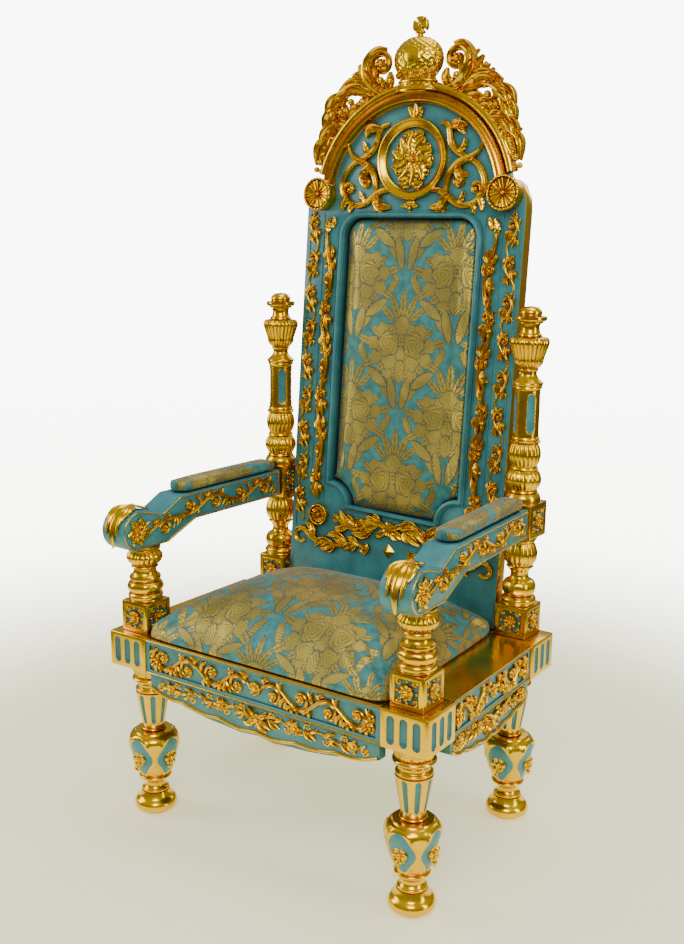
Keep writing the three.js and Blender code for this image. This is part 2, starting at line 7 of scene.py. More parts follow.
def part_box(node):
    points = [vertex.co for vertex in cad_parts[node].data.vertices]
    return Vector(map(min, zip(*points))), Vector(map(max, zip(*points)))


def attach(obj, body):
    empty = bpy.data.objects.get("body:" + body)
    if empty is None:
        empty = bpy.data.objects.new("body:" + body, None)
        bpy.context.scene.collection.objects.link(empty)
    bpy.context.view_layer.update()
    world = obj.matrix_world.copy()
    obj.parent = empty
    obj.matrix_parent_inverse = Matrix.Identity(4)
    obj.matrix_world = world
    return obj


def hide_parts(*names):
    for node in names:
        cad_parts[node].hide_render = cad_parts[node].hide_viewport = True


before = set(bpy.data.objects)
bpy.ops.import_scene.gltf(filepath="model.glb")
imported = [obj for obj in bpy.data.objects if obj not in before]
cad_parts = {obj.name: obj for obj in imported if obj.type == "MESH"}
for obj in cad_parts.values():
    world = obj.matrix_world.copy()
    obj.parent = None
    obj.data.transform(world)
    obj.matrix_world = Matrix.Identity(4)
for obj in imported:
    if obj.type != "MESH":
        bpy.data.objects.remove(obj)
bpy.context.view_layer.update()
mm = 0.001


def clearSelection():
    if bpy.context.object and bpy.context.object.mode != "OBJECT":
        bpy.ops.object.mode_set(mode="OBJECT")
    bpy.ops.object.select_all(action="DESELECT")


def pick(*pieces):
    clearSelection()
    for piece in pieces:
        piece.select_set(True)
    bpy.context.view_layer.objects.active = pieces[0]


def bake(piece, kind, **settings):
    # adds a modifier and applies it at once
    pick(piece)
    modifier = piece.modifiers.new(kind.title(), kind)
    for key, value in settings.items():
        setattr(modifier, key, value)
    bpy.ops.object.modifier_apply(modifier=modifier.name)


def joined(name, pieces):
    pick(*pieces)
    if len(pieces) > 1:
        bpy.ops.object.join()
    piece = bpy.context.object
    piece.name = name
    piece.data.name = name
    return piece


def ownCopy(piece, name=None):
    twin = piece.copy()
    twin.data = piece.data.copy()
    twin.name = name or piece.name + "_copy"
    bpy.context.scene.collection.objects.link(twin)
    return twin


def settle(piece, matrix=None):
    # puts the object's place into its mesh
    if matrix is not None:
        piece.matrix_world = matrix @ piece.matrix_world
    bpy.context.view_layer.update()
    piece.data.transform(piece.matrix_world)
    if piece.matrix_world.determinant() < 0:
        piece.data.flip_normals()
    piece.matrix_world = Matrix.Identity(4)
    return piece


def faceOutwards(piece, merge=0.00001):
    pick(piece)
    bpy.ops.object.mode_set(mode="EDIT")
    bpy.ops.mesh.select_all(action="SELECT")
    bpy.ops.mesh.remove_doubles(threshold=merge)
    bpy.ops.mesh.normals_make_consistent(inside=False)
    bpy.ops.object.mode_set(mode="OBJECT")


def smooth(piece, degrees=40):
    pick(piece)
    bpy.ops.object.shade_smooth_by_angle(angle=math.radians(degrees))


def finishPiece(piece, materials, slot, *nodes):
    piece.data.materials.clear()
    for material in materials:
        piece.data.materials.append(material)
    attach(piece, "root")
    if nodes:
        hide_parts(*nodes)
    return piece


def middle(node):
    low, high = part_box(node)
    return (low + high) / 2


def smoothPath(points, count):
    # an even Catmull-Rom walk through the points
    p = [Vector(q) for q in points]
    p = [2 * p[0] - p[1]] + p + [2 * p[-1] - p[-2]]
    dense = []
    for i in range(1, len(p) - 2):
        for k in range(12):
            t = k / 12
            dense.append(0.5 * ((2 * p[i]) + (p[i + 1] - p[i - 1]) * t
                         + (2 * p[i - 1] - 5 * p[i] + 4 * p[i + 1] - p[i + 2]) * t * t
                         + (3 * p[i] - p[i - 1] - 3 * p[i + 1] + p[i + 2]) * t ** 3))
    dense.append(p[-2])
    return evenPath(dense, count)


def evenPath(dense, count):
    runs = [0.0]
    for a, b in zip(dense, dense[1:]):
        runs.append(runs[-1] + (b - a).length)
    out = []
    k = 0
    for i in range(count + 1):
        want = runs[-1] * i / count
        while k < len(runs) - 2 and runs[k + 1] < want:
            k += 1
        span = max(runs[k + 1] - runs[k], 1e-9)
        out.append(dense[k].lerp(dense[k + 1], min(1, (want - runs[k]) / span)))
    return out


def arcPoints(x, y, radius, start, end, count=10):
    # points on an arc, angles in degrees
    out = []
    for i in range(count + 1):
        a = math.radians(start + (end - start) * i / count)
        out.append((x + radius * math.cos(a), y + radius * math.sin(a)))
    return out


def volutePoints(x, y, radius, start, turns, inner=0.18, count=34):
    # a spiral that winds in from the outside; turns below 0 winds clockwise
    out = []
    for i in range(count + 1):
        t = i / count
        a = math.radians(start + 360 * turns * t)
        r = radius * (1 - (1 - inner) * t ** 0.85)
        out.append((x + r * math.cos(a), y + r * math.sin(a)))
    return out


class Wire:
    # a node socket that sums, multiplies and compares like a number
    def __init__(self, tree, socket):
        self.tree = tree
        self.socket = socket

    def calc(self, operation, *others):
        node = self.tree.nodes.new("ShaderNodeMath")
        node.operation = operation
        for place, value in zip(node.inputs, (self, *others)):
            if isinstance(value, Wire):
                self.tree.links.new(value.socket, place)
            else:
                place.default_value = value
        return Wire(self.tree, node.outputs[0])

    def flipped(self, operation, value):
        node = self.tree.nodes.new("ShaderNodeMath")
        node.operation = operation
        node.inputs[0].default_value = value
        self.tree.links.new(self.socket, node.inputs[1])
        return Wire(self.tree, node.outputs[0])

    def __add__(self, other):
        return self.calc("ADD", other)

    def __sub__(self, other):
        return self.calc("SUBTRACT", other)

    def __mul__(self, other):
        return self.calc("MULTIPLY", other)

    def __truediv__(self, other):
        return self.calc("DIVIDE", other)

    def __radd__(self, other):
        return self.calc("ADD", other)

    def __rmul__(self, other):
        return self.calc("MULTIPLY", other)

    def __rsub__(self, other):
        return self.flipped("SUBTRACT", other)

    def sine(self):
        return self.calc("SINE")

    def cosine(self):
        return self.calc("COSINE")

    def part(self):
        return self.calc("FRACT")

    def size(self):
        return self.calc("ABSOLUTE")

    def power(self, other):
        return self.calc("POWER", other)

    def most(self, other):
        return self.calc("MAXIMUM", other)

    def least(self, other):
        return self.calc("MINIMUM", other)

    def step(self, low, high):
        # 0 below low, 1 above high, softly between; low above high turns it round
        node = self.tree.nodes.new("ShaderNodeMapRange")
        node.interpolation_type = "SMOOTHSTEP"
        self.tree.links.new(self.socket, node.inputs["Value"])
        if low < high:
            node.inputs["From Min"].default_value = low
            node.inputs["From Max"].default_value = high
            return Wire(self.tree, node.outputs["Result"])
        node.inputs["From Min"].default_value = high
        node.inputs["From Max"].default_value = low
        return 1 - Wire(self.tree, node.outputs["Result"])


def wireOf(tree, node, output=0):
    return Wire(tree, node.outputs[output])


def noiseWire(tree, vector, scale, detail=3.0, roughness=0.5):
    node = tree.nodes.new("ShaderNodeTexNoise")
    node.inputs["Scale"].default_value = scale
    node.inputs["Detail"].default_value = detail
    node.inputs["Roughness"].default_value = roughness
    tree.links.new(vector, node.inputs["Vector"])
    return wireOf(tree, node)


def blendColor(tree, amount, low, high):
    node = tree.nodes.new("ShaderNodeMix")
    node.data_type = "RGBA"
    for value, place in ((low, node.inputs[6]), (high, node.inputs[7])):
        if isinstance(value, tuple):
            place.default_value = (*value, 1)
        else:
            tree.links.new(value, place)
    tree.links.new(amount.socket, node.inputs[0])
    return node.outputs[2]


def newGroup(name, inputs, outputs):
    tree = bpy.data.node_groups.new(name, "ShaderNodeTree")
    for key, kind, value in inputs:
        socket = tree.interface.new_socket(key, in_out="INPUT", socket_type=kind)
        if value is not None:
            socket.default_value = value
    for key, kind in outputs:
        tree.interface.new_socket(key, in_out="OUTPUT", socket_type=kind)
    return tree, tree.nodes.new("NodeGroupInput"), tree.nodes.new("NodeGroupOutput")


def goldLeafGroup():
    # burnished leaf whose tone varies at random; the hollows get painted shade, a darker burnt orange that
    # partly also stands for the size showing through, so the raised edges read paler
    tree, inside, outside = newGroup(
        "goldLeaf",
        [("Vector", "NodeSocketVector", None), ("HollowShade", "NodeSocketFloat", 0.0)],
        [("Color", "NodeSocketColor"), ("Roughness", "NodeSocketFloat"), ("Height", "NodeSocketFloat")])
    vector = inside.outputs["Vector"]
    hollowShade = wireOf(tree, inside, 1)
    cloud = noiseWire(tree, vector, 18, 4, 0.6)
    fine = noiseWire(tree, vector, 260, 2, 0.5)
    tone = blendColor(tree, cloud.step(0.35, 0.7), (0.84, 0.47, 0.001), (0.93, 0.58, 0.004))
    # painted shade: where the occlusion mask is high the leaf is darkened to burnt orange, partly also the
    # size showing through
    shadedHollows = blendColor(tree, (hollowShade * (0.55 + 0.3 * cloud)).least(1.0), tone, (0.52, 0.19, 0.001))
    tree.links.new(shadedHollows, outside.inputs["Color"])
    rough = 0.13 + 0.14 * cloud + 0.14 * hollowShade
    tree.links.new(rough.socket, outside.inputs["Roughness"])
    tree.links.new((0.6 * cloud + 0.25 * fine).socket, outside.inputs["Height"])
    return tree


def oldPaintGroup():
    # brushed satin paint, a little worn, its tone varying at random; the hollows are darkened with painted
    # shade
    tree, inside, outside = newGroup(
        "oldPaint", [("Vector", "NodeSocketVector", None), ("HollowShade", "NodeSocketFloat", 0.0)],
        [("Color", "NodeSocketColor"), ("Roughness", "NodeSocketFloat"), ("Height", "NodeSocketFloat")])
    vector = inside.outputs["Vector"]
    cloud = noiseWire(tree, vector, 14, 4, 0.6)
    brush = noiseWire(tree, vector, 190, 3, 0.6)
    tone = blendColor(tree, cloud.step(0.3, 0.72), (0.032, 0.190, 0.205), (0.060, 0.285, 0.300))
    # painted shade: where the occlusion mask is high the teal is darkened
    shadedHollows = blendColor(tree, wireOf(tree, inside, 1), tone, (0.008, 0.045, 0.05))
    tree.links.new(shadedHollows, outside.inputs["Color"])
    tree.links.new((0.30 + 0.16 * cloud).socket, outside.inputs["Roughness"])
    tree.links.new((0.5 * cloud + 0.5 * brush).socket, outside.inputs["Height"])
    return tree


def placeGroup(tree, group):
    node = tree.nodes.new("ShaderNodeGroup")
    node.node_tree = group
    return node


def startMaterial(name):
    material = bpy.data.materials.new(name)
    material.use_nodes = True
    tree = material.node_tree
    shader = tree.nodes["Principled BSDF"]
    where = tree.nodes.new("ShaderNodeTexCoord").outputs["Object"]
    return material, tree, shader, where


def hollowShadeWire(tree, reach, strength):
    # how much a point is shut in by the carving, read from ambient occlusion; the mask for painted shade in
    # the hollows
    node = tree.nodes.new("ShaderNodeAmbientOcclusion")
    node.samples = 6
    node.inputs["Distance"].default_value = reach
    return (1 - wireOf(tree, node, 1)).calc("MULTIPLY", strength).least(1.0)


def bumpInto(tree, shader, height, distance, strength=1.0):
    bump = tree.nodes.new("ShaderNodeBump")
    bump.inputs["Strength"].default_value = strength
    bump.inputs["Distance"].default_value = distance
    tree.links.new(height.socket, bump.inputs["Height"])
    tree.links.new(bump.outputs["Normal"], shader.inputs["Normal"])


def gildedMaterial(name, groups, painted):
    # leaf all over, or paint where the piece's own "paint" attribute is high
    material, tree, shader, where = startMaterial(name)
    # the occlusion mask paints shade into the hollows of both the leaf and the paint
    hollowShade = hollowShadeWire(tree, 0.012, 1.5)
    gold = placeGroup(tree, groups["gold"])
    tree.links.new(where, gold.inputs["Vector"])
    tree.links.new(hollowShade.socket, gold.inputs["HollowShade"])
    if not painted:
        tree.links.new(gold.outputs["Color"], shader.inputs["Base Color"])
        tree.links.new(gold.outputs["Roughness"], shader.inputs["Roughness"])
        shader.inputs["Metallic"].default_value = 1.0
        bumpInto(tree, shader, wireOf(tree, gold, 2), 0.0006)
        return material
    paint = placeGroup(tree, groups["paint"])
    tree.links.new(where, paint.inputs["Vector"])
    tree.links.new(hollowShade.socket, paint.inputs["HollowShade"])
    mark = tree.nodes.new("ShaderNodeAttribute")
    mark.attribute_name = "paint"
    cover = wireOf(tree, mark, 2).step(0.44, 0.56)
    color = blendColor(tree, cover, gold.outputs["Color"], paint.outputs["Color"])
    tree.links.new(color, shader.inputs["Base Color"])
    tree.links.new((1 - cover).socket, shader.inputs["Metallic"])
    rough = wireOf(tree, gold, 1) * (1 - cover) + wireOf(tree, paint, 1) * cover
    tree.links.new(rough.socket, shader.inputs["Roughness"])
    bumpInto(tree, shader, wireOf(tree, gold, 2) * (1 - cover) + wireOf(tree, paint, 2) * cover, 0.0006)
    return material


def paintMaterial(name, groups):
    material, tree, shader, where = startMaterial(name)
    paint = placeGroup(tree, groups["paint"])
    tree.links.new(where, paint.inputs["Vector"])
    # the occlusion mask paints shade into the hollows of the paint
    tree.links.new(hollowShadeWire(tree, 0.02, 1.2).socket, paint.inputs["HollowShade"])
    tree.links.new(paint.outputs["Color"], shader.inputs["Base Color"])
    tree.links.new(paint.outputs["Roughness"], shader.inputs["Roughness"])
    bumpInto(tree, shader, wireOf(tree, paint, 2), 0.0004)
    shader.inputs["Coat Weight"].default_value = 0.15
    shader.inputs["Coat Roughness"].default_value = 0.25
    return material


def woodMaterial(name):
    material, tree, shader, where = startMaterial(name)
    stretch = tree.nodes.new("ShaderNodeMapping")
    stretch.inputs["Scale"].default_value = (1, 14, 14)
    tree.links.new(where, stretch.inputs["Vector"])
    grain = noiseWire(tree, stretch.outputs[0], 9, 6, 0.65)
    color = blendColor(tree, grain.step(0.3, 0.7), (0.035, 0.016, 0.008), (0.12, 0.058, 0.026))
    tree.links.new(color, shader.inputs["Base Color"])
    shader.inputs["Roughness"].default_value = 0.62
    bumpInto(tree, shader, grain, 0.0005)
    return material


brocadeValues = {
    "across": 0.130,  # half of one repeat; every second column drops by half a repeat
    "up": 0.155,
    "satin": (0.052, 0.285, 0.262),
    "shade": (0.022, 0.165, 0.165),
    "gold": (0.360, 0.250, 0.016),
    "paleGold": (0.80, 0.58, 0.060),
    "outline": (0.006, 0.048, 0.052),
    # everything is mirrored about the middle of a bouquet; sizes in metres
    "roses": [(0.050, 0.040, 0.019, 5), (0.074, 0.010, 0.017, 6), (0.066, -0.022, 0.018, 5),
              (0.030, -0.030, 0.020, 5),
              (0.0, 0.052, 0.022, 5), (0.0, -0.010, 0.017, 6), (0.033, 0.010, 0.031, 5)],
    "leaves": [(0.0, 0.098, 1.571, 0.034, 0.011), (0.020, 0.090, 1.15, 0.032, 0.011),
               (0.038, 0.078, 0.75, 0.028, 0.010),
               (0.094, 0.016, 0.35, 0.022, 0.011), (0.086, -0.036, -0.5, 0.020, 0.010),
               (0.062, 0.034, 0.6, 0.024, 0.011),
               (0.030, -0.030, -1.1, 0.022, 0.011), (0.048, -0.040, -0.7, 0.020, 0.010)],
    "lace": [(0.017, -0.098, 1.36, 0.040, 0.015), (0.060, -0.066, 0.62, 0.036, 0.017)],
    "packed": [(0.0, 0.004, 0.082, 0.058), (0.020, -0.048, 0.034, 0.030), (0.0, 0.068, 0.026, 0.026)],
    "pods": [(0.0, -0.050, 0.014, 0.027), (0.030, -0.056, 0.011, 0.014)],
}


def brocadeGroup():
    # flower bouquets over lace garlands, set in a half-drop repeat
    look = brocadeValues
    tree, inside, outside = newGroup(
        "brocadeFlowers", [("Vector", "NodeSocketVector", None)],
        [("Gold", "NodeSocketFloat"), ("Line", "NodeSocketFloat"), ("Tone", "NodeSocketFloat")])
    split = tree.nodes.new("ShaderNodeSeparateXYZ")
    tree.links.new(inside.outputs["Vector"], split.inputs[0])
    ragged = noiseWire(tree, inside.outputs["Vector"], 210, 2) - 0.5
    wide, tall = look["across"], look["up"]
    px = ((wireOf(tree, split, 0) / (2 * wide) + 0.5).part() - 0.5) * (2 * wide)
    py = ((wireOf(tree, split, 1) / (2 * tall) + 0.5).part() - 0.5) * (2 * tall)
    outer = (px.size() / wide + py.size() / tall).calc("GREATER_THAN", 1.0)
    x = (px.size() - outer * wide).size() + 0.0022 * ragged
    y = py - outer * py.calc("SIGN") * tall + 0.0022 * ragged
    gold = line = tone = None

    def layer(mask, marks, shade):
        nonlocal gold, line, tone
        if gold is None:
            gold, line, tone = mask, marks * mask, shade * mask
            return
        gold, line = gold.most(mask), line * (1 - mask) + marks * mask
        tone = tone * (1 - mask) + shade * mask

    def leafShape(cx, cy, angle, length, width, teeth):
        dx, dy = x - cx, y - cy
        along = (dx * math.cos(angle) + dy * math.sin(angle)) / length
        across = (dy * math.cos(angle) - dx * math.sin(angle)) / width
        edge = (1 - along * along).most(0.0).power(0.6) * (1 - 0.16 * (along * teeth).sine().size())
        return along, across, edge - across.size()

    # the garland that rings the lower half of each bouquet
    ring = (x / wide + y.size() / tall - 0.88 + 0.045 * (y * 82).cosine()).size()
    scales = ((x * 620).sine() * (y * 620).sine()).size()
    band = 0.050 + 0.040 * (y * 82 + 1.2).cosine()
    room = band - ring
    layer(room.step(0.0, 0.008) * y.step(0.030, 0.020), scales.step(0.24,
                                                                    0.08).most(room.step(0.024, 0.014)),
          0.25 + 0.5 * scales)
    # small leaves packed behind the flowers
    for cx, cy, width, height in look["packed"]:
        dx, dy = (x - cx) / width, (y - cy) / height
        reach = (dx * dx + dy * dy).power(0.5)
        turn = dy.calc("ARCTAN2", dx)
        edge = 0.92 + 0.09 * (turn * 11).cosine() - reach
        net = ((x * 420 + (y * 260).sine()).sine() * (y * 380 + (x * 300).sine()).sine()).size()
        layer(edge.step(0.0, 0.04), net.step(0.20, 0.06).most(edge.step(0.12, 0.06)), 0.15 + 0.6 * net)
    for values in look["lace"]:
        along, across, room = leafShape(*values, 14)
        net = ((along * 22 + across * 5).sine() * (along * 22 - across * 5).sine()).size()
        layer(room.step(0.0, 0.06), net.step(0.22, 0.06).most(room.step(0.30, 0.18)), 0.2 + 0.6 * net)
    for values in look["leaves"]:
        along, across, room = leafShape(*values, 13)
        rib = across.size().step(0.14, 0.05)
        veins = ((along - across.size() * 0.5) * 13).sine().step(0.55, 0.9)
        layer(room.step(0.0, 0.08), rib.most(veins * 0.75).most(room.step(0.26, 0.12)), 0.3
              + 0.6 * across.size())
    for cx, cy, width, height in look["pods"]:
        dx, dy = (x - cx) / width, (y - cy) / height
        reach = (dx * dx + dy * dy).power(0.5)
        net = ((dx * 6 + dy * 9).sine() * (dx * 6 - dy * 9).sine()).size()
        layer(reach.step(1.0, 0.94), net.step(0.25, 0.08).most(reach.step(0.84, 0.92)), 0.3 + 0.6 * net)
    for cx, cy, radius, petals in look["roses"]:
        dx, dy = (x - cx) / radius, (y - cy) / radius
        reach = (dx * dx + dy * dy).power(0.5)
        turn = dy.calc("ARCTAN2", dx)
        edge = 0.93 + 0.09 * (turn * petals).cosine() + 0.03 * (turn * petals * 3).cosine()
        rings = (reach * 4.2 + 0.34 * (turn * 3 + reach * 4).cosine() + 0.16 * turn).part()
        marks = rings.step(0.20, 0.07).most(rings.step(0.88, 0.96))
        fine = (turn * 24 + reach * 9).sine().step(0.6, 0.95) * reach.step(0.35, 0.9)
        rim = (edge - reach).step(0.12, 0.05)
        layer((edge - reach).step(0.0, 0.05), marks.most(fine * 0.55).most(rim), 0.3 + 0.7 * rings)
    for key, wire in (("Gold", gold), ("Line", line), ("Tone", tone)):
        tree.links.new(wire.socket, outside.inputs[key])
    return tree


def brocadeMaterial(name, group):
    look = brocadeValues
    material = bpy.data.materials.new(name)
    material.use_nodes = True
    tree = material.node_tree
    shader = tree.nodes["Principled BSDF"]
    chart = tree.nodes.new("ShaderNodeUVMap")
    chart.uv_map = "cloth"
    flowers = placeGroup(tree, group)
    tree.links.new(chart.outputs[0], flowers.inputs["Vector"])
    split = tree.nodes.new("ShaderNodeSeparateXYZ")
    tree.links.new(chart.outputs[0], split.inputs[0])
    threads = 5200.0
    warp = (wireOf(tree, split, 0) * threads).sine()
    weft = (wireOf(tree, split, 1) * threads).sine()
    gold, line, tone = (wireOf(tree, flowers, i) for i in range(3))
    cloud = noiseWire(tree, chart.outputs[0], 60, 3)
    ground = blendColor(tree, cloud.step(0.3, 0.7), look["shade"], look["satin"])
    patches = noiseWire(tree, chart.outputs[0], 11, 3).step(0.42, 0.64)
    silk = blendColor(tree, (0.55 * tone + 0.75 * patches).least(1.0), look["gold"], look["paleGold"])
    drawn = blendColor(tree, gold * (0.92 + 0.08 * weft), ground, silk)
    inked = blendColor(tree, line * 0.88, drawn, look["outline"])
    tree.links.new(inked, shader.inputs["Base Color"])
    tree.links.new((0.42 - 0.14 * gold + 0.08 * cloud).socket, shader.inputs["Roughness"])
    tree.links.new((gold * (1 - line) * 0.75).socket, shader.inputs["Metallic"])
    height = gold * 0.5 * (1 - 0.6 * line) + 0.06 * warp * (1 - gold) + 0.08 * weft
    bumpInto(tree, shader, height, 0.0007, 0.8)
    shader.inputs["Sheen Weight"].default_value = 0.25
    shader.inputs["Sheen Roughness"].default_value = 0.4
    return material


groups = {"gold": goldLeafGroup(), "paint": oldPaintGroup()}
gilding = gildedMaterial("gilding", groups, False)
gildedPaint = gildedMaterial("gildedPaint", groups, True)
tealPaint = paintMaterial("tealPaint", groups)
brocade = brocadeMaterial("brocade", brocadeGroup())
carcaseWood = woodMaterial("carcaseWood")
print("materials made")


def bead(low, high, radius, neck, steps=6):
    # a half-round moulding between two heights
    out = []
    for i in range(steps + 1):
        a = math.pi * (i / steps - 0.5)
        out.append((neck + (radius - neck) * math.cos(a), (low + high) / 2
                    + (high - low) / 2 * math.sin(a)))
    return out


def sweepRows(points, step=4.0):
    # a smooth belly or neck through the given radii and heights
    length = sum(math.dist(a, b) for a, b in zip(points, points[1:]))
    return [(p.x, p.y) for p in smoothPath(points, max(4, round(length / step)))]


def straightRows(low, high, step=3.0):
    count = max(1, round(math.dist(low, high) / step))
    return [(low[0] + (high[0] - low[0]) * i / count, low[1] + (high[1] - low[1]) * i / count)
            for i in range(count + 1)]


def turned(name, rows, segments, carve=None):
    # the profile is drawn, spun round the axis and then carved row by row; sizes in millimetres
    rows = [(max(r, 0.02), z) for r, z in rows]
    drawing = bpy.data.curves.new(name, "CURVE")
    drawing.dimensions = "3D"
    spline = drawing.splines.new("POLY")
    spline.points.add(len(rows) - 1)
    for point, (r, z) in zip(spline.points, rows):
        point.co = (r, 0, z, 1)
    piece = bpy.data.objects.new(name, drawing)
    bpy.context.scene.collection.objects.link(piece)
    pick(piece)
    bpy.ops.object.convert(target="MESH")
    piece = bpy.context.object
    bpy.ops.object.mode_set(mode="EDIT")
    bpy.ops.mesh.select_all(action="SELECT")
    bpy.ops.mesh.spin(steps=segments, angle=2 * math.pi, center=(0, 0, 0), axis=(0, 0, 1))
    bpy.ops.mesh.select_all(action="SELECT")
    bpy.ops.mesh.remove_doubles(threshold=0.03)
    bpy.ops.mesh.normals_make_consistent(inside=False)
    bpy.ops.object.mode_set(mode="OBJECT")
    paint = piece.data.attributes.new("paint", "FLOAT", "POINT")
    if carve:
        for i, v in enumerate(piece.data.vertices):
            r = math.hypot(v.co.x, v.co.y)
            a = math.atan2(v.co.y, v.co.x)
            change, cover = carve(a, r, v.co.z)
            if r > 0.5:
                v.co.x *= 1 + change / r
                v.co.y *= 1 + change / r
            paint.data[i].value = cover
    return piece


def slotCarve(angle, z, count, low, high, halfWidth, radius, depth, turn=0.0):
    # round-ended flutes; gives the cut at a point, and how far inside the flute it is
    pitch = 2 * math.pi / count
    s = ((angle + turn + pitch / 2) % pitch - pitch / 2) * radius
    t = max(0.0, low + halfWidth - z, z - (high - halfWidth))
    off = math.hypot(s, t) / halfWidth
    cut = -depth * math.sqrt(1 - off * off) if off < 1 else 0.0
    return cut, min(1.0, max(0.0, 0.5 + (1 - off) * halfWidth / 3))


def reeds(angle, count, depth, turn=0.0):
    return depth * (abs(math.cos(count * (angle + turn) / 2)) ** 0.7 - 1)


def leafCollar(angle, z, count, low, high, depth, turn=0.0):
    # overlapping pointed leaves standing round a turning, tips at high
    t = (z - low) / (high - low)
    if not 0 <= t <= 1:
        return 0.0
    pitch = 2 * math.pi / count
    s = ((angle + turn + pitch / 2) % pitch - pitch / 2) / (pitch / 2)
    behind = ((angle + turn) % pitch - pitch / 2) / (pitch / 2)
    front = math.sqrt(max(0.0, 1 - t ** 2.2))
    rise = 0.0
    if abs(s) < front:
        rise = 0.55 + 0.45 * (1 - abs(s) / max(front, 0.01)) - (0.3 if abs(s) < 0.07 else 0)
        rise += 0.18 * math.cos(9 * (t + abs(s) * 0.5) * math.pi)
    elif abs(behind) < front:
        rise = 0.28
    return depth * rise


legValues = {
    "segments": 96,
    "top": 350,
    "flutes": 8,
    "fluteHigh": 282,
    "fluteHalf": 6.2, "fluteDepth": 3.6,
    "panels": 4,
}


def makeLegMaster():
    look = legValues
    rows = [(0, 0), (29, 0), (33, 1.5)] + sweepRows([(34, 3), (45, 11), (47, 22), (42, 31)])
    rows += sweepRows([(38, 33), (34, 40), (31, 48)]) + bead(48, 55, 30, 27)
    rows += sweepRows([(26, 56), (21.5, 62), (23, 71), (28, 79)])
    rows += bead(79, 87, 36, 31) + sweepRows([(31, 87), (38, 101), (47, 130), (53.5, 155), (55.5, 169),
                                               (53, 180), (46, 188)], 3.0)
    rows += [(43, 188.5), (41.5, 190)] + straightRows((40, 193), (29, 193.5)) + bead(194, 200, 27, 22)
    rows += straightRows((23, 201), (24.2, 206), 2.5)
    rows += sweepRows([(24.4, 208), (27, 222), (33, 256), (37, 284)], 2.4)
    rows += bead(286, 294, 37, 32) + sweepRows([(31, 295), (30, 301), (34, 308)]) + bead(309, 321, 43, 35)
    rows += sweepRows([(34, 322), (36, 330), (42, 342), (45, 348)], 1.6) + [(40, 349.6), (0, 349.6)]

    def carve(angle, r, z):
        change, cover = 0.0, 0.0
        if 205 < z < 285:
            change, cover = slotCarve(angle, z, look["flutes"], 212, look["fluteHigh"], look["fluteHalf"] *
                                      (0.72 + 0.28 * (z - 205) / 80), r, look["fluteDepth"])
        elif 88 < z < 184:
            # lobed cartouches with a flower in each
            pitch = 2 * math.pi / look["panels"]
            s = ((angle + pitch / 2) % pitch - pitch / 2) * 48
            t = z - 134
            reach = 32 + 2.5 * math.cos(4 * math.atan2(t, s * 1.15)) + 2.5 * math.sin(math.atan2(t,
                                                                                                 s * 1.15))
            off = math.hypot(s * 0.98, t * 0.72) / reach
            cover = min(1.0, max(0.0, 0.5 + (0.92 - off) * 9))
            change = -2.4 * min(1.0, max(0.0, (1.0 - off) * 9))
            if abs(off - 1.09) < 0.06:
                change += 1.5
        elif 322 < z < 349:
            change = leafCollar(angle, z, 8, 321, 349, 4.2)
        elif 3 < z < 31:
            change = -1.0 * (1 - abs(math.cos(12 * angle)) ** 0.5) * (0.3 if z < 8 else 0.0)
        return change, cover

    leg = turned("legMaster", rows, look["segments"], carve)
    smooth(leg, 38)
    return leg


def stemRows(foot):
    # the stem that carries the arm, from the top of its block
    rows = [(0, foot), (33, foot)] + bead(foot, foot + 5, 35.5, 33, 4) + sweepRows(
        [(36.5, foot + 6), (37, foot + 12), (33, foot + 17)], 2.5)
    rows += bead(86, 110, 37.7, 30, 12) + sweepRows([(29, 111), (33.5, 116), (33, 121)], 2.0)
    rows += sweepRows([(27, 125), (24.5, 131), (24.5, 140)], 2.2) + bead(140, 145, 29, 25, 4)
    rows += sweepRows([(27, 146), (36, 155), (38.8, 165), (35, 173), (30, 178)], 1.8)
    rows += bead(179, 184, 34, 30, 4) + [(34.5, 185), (34.5, 189.3), (0, 189.3)]
    return [(r, z + 427) for r, z in rows]


def carvedStem(angle, r, z):
    z -= 427
    if 86 < z < 110:
        return 0.9 * math.cos(8 * angle) * math.sin(math.pi * (z - 86) / 24), 0.0
    if 147 < z < 178:
        return reeds(angle, 20, 3.0), 0.0
    return 0.0, 0.0


def rearLowerRows(foot):
    rows = [(0, foot), (33, foot)] + bead(foot, foot + 5, 35.5, 33, 4)
    rows += sweepRows([(36.5, foot + 6), (37, foot + 12), (33, foot + 17)], 2.5)
    rows += bead(88, 120, 35.5, 27, 12) + sweepRows([(25, 121), (19.5, 128), (19.5, 138), (24, 146)], 2.2)
    rows += bead(148, 153, 29, 25, 4)
    rows += sweepRows([(27, 154), (34, 166), (36, 180), (33, 194), (28, 205)], 1.9)
    rows += bead(206, 211, 31, 28, 4) + [(33.5, 212), (33.5, 218.5)]
    return [(r, z + 427) for r, z in rows]


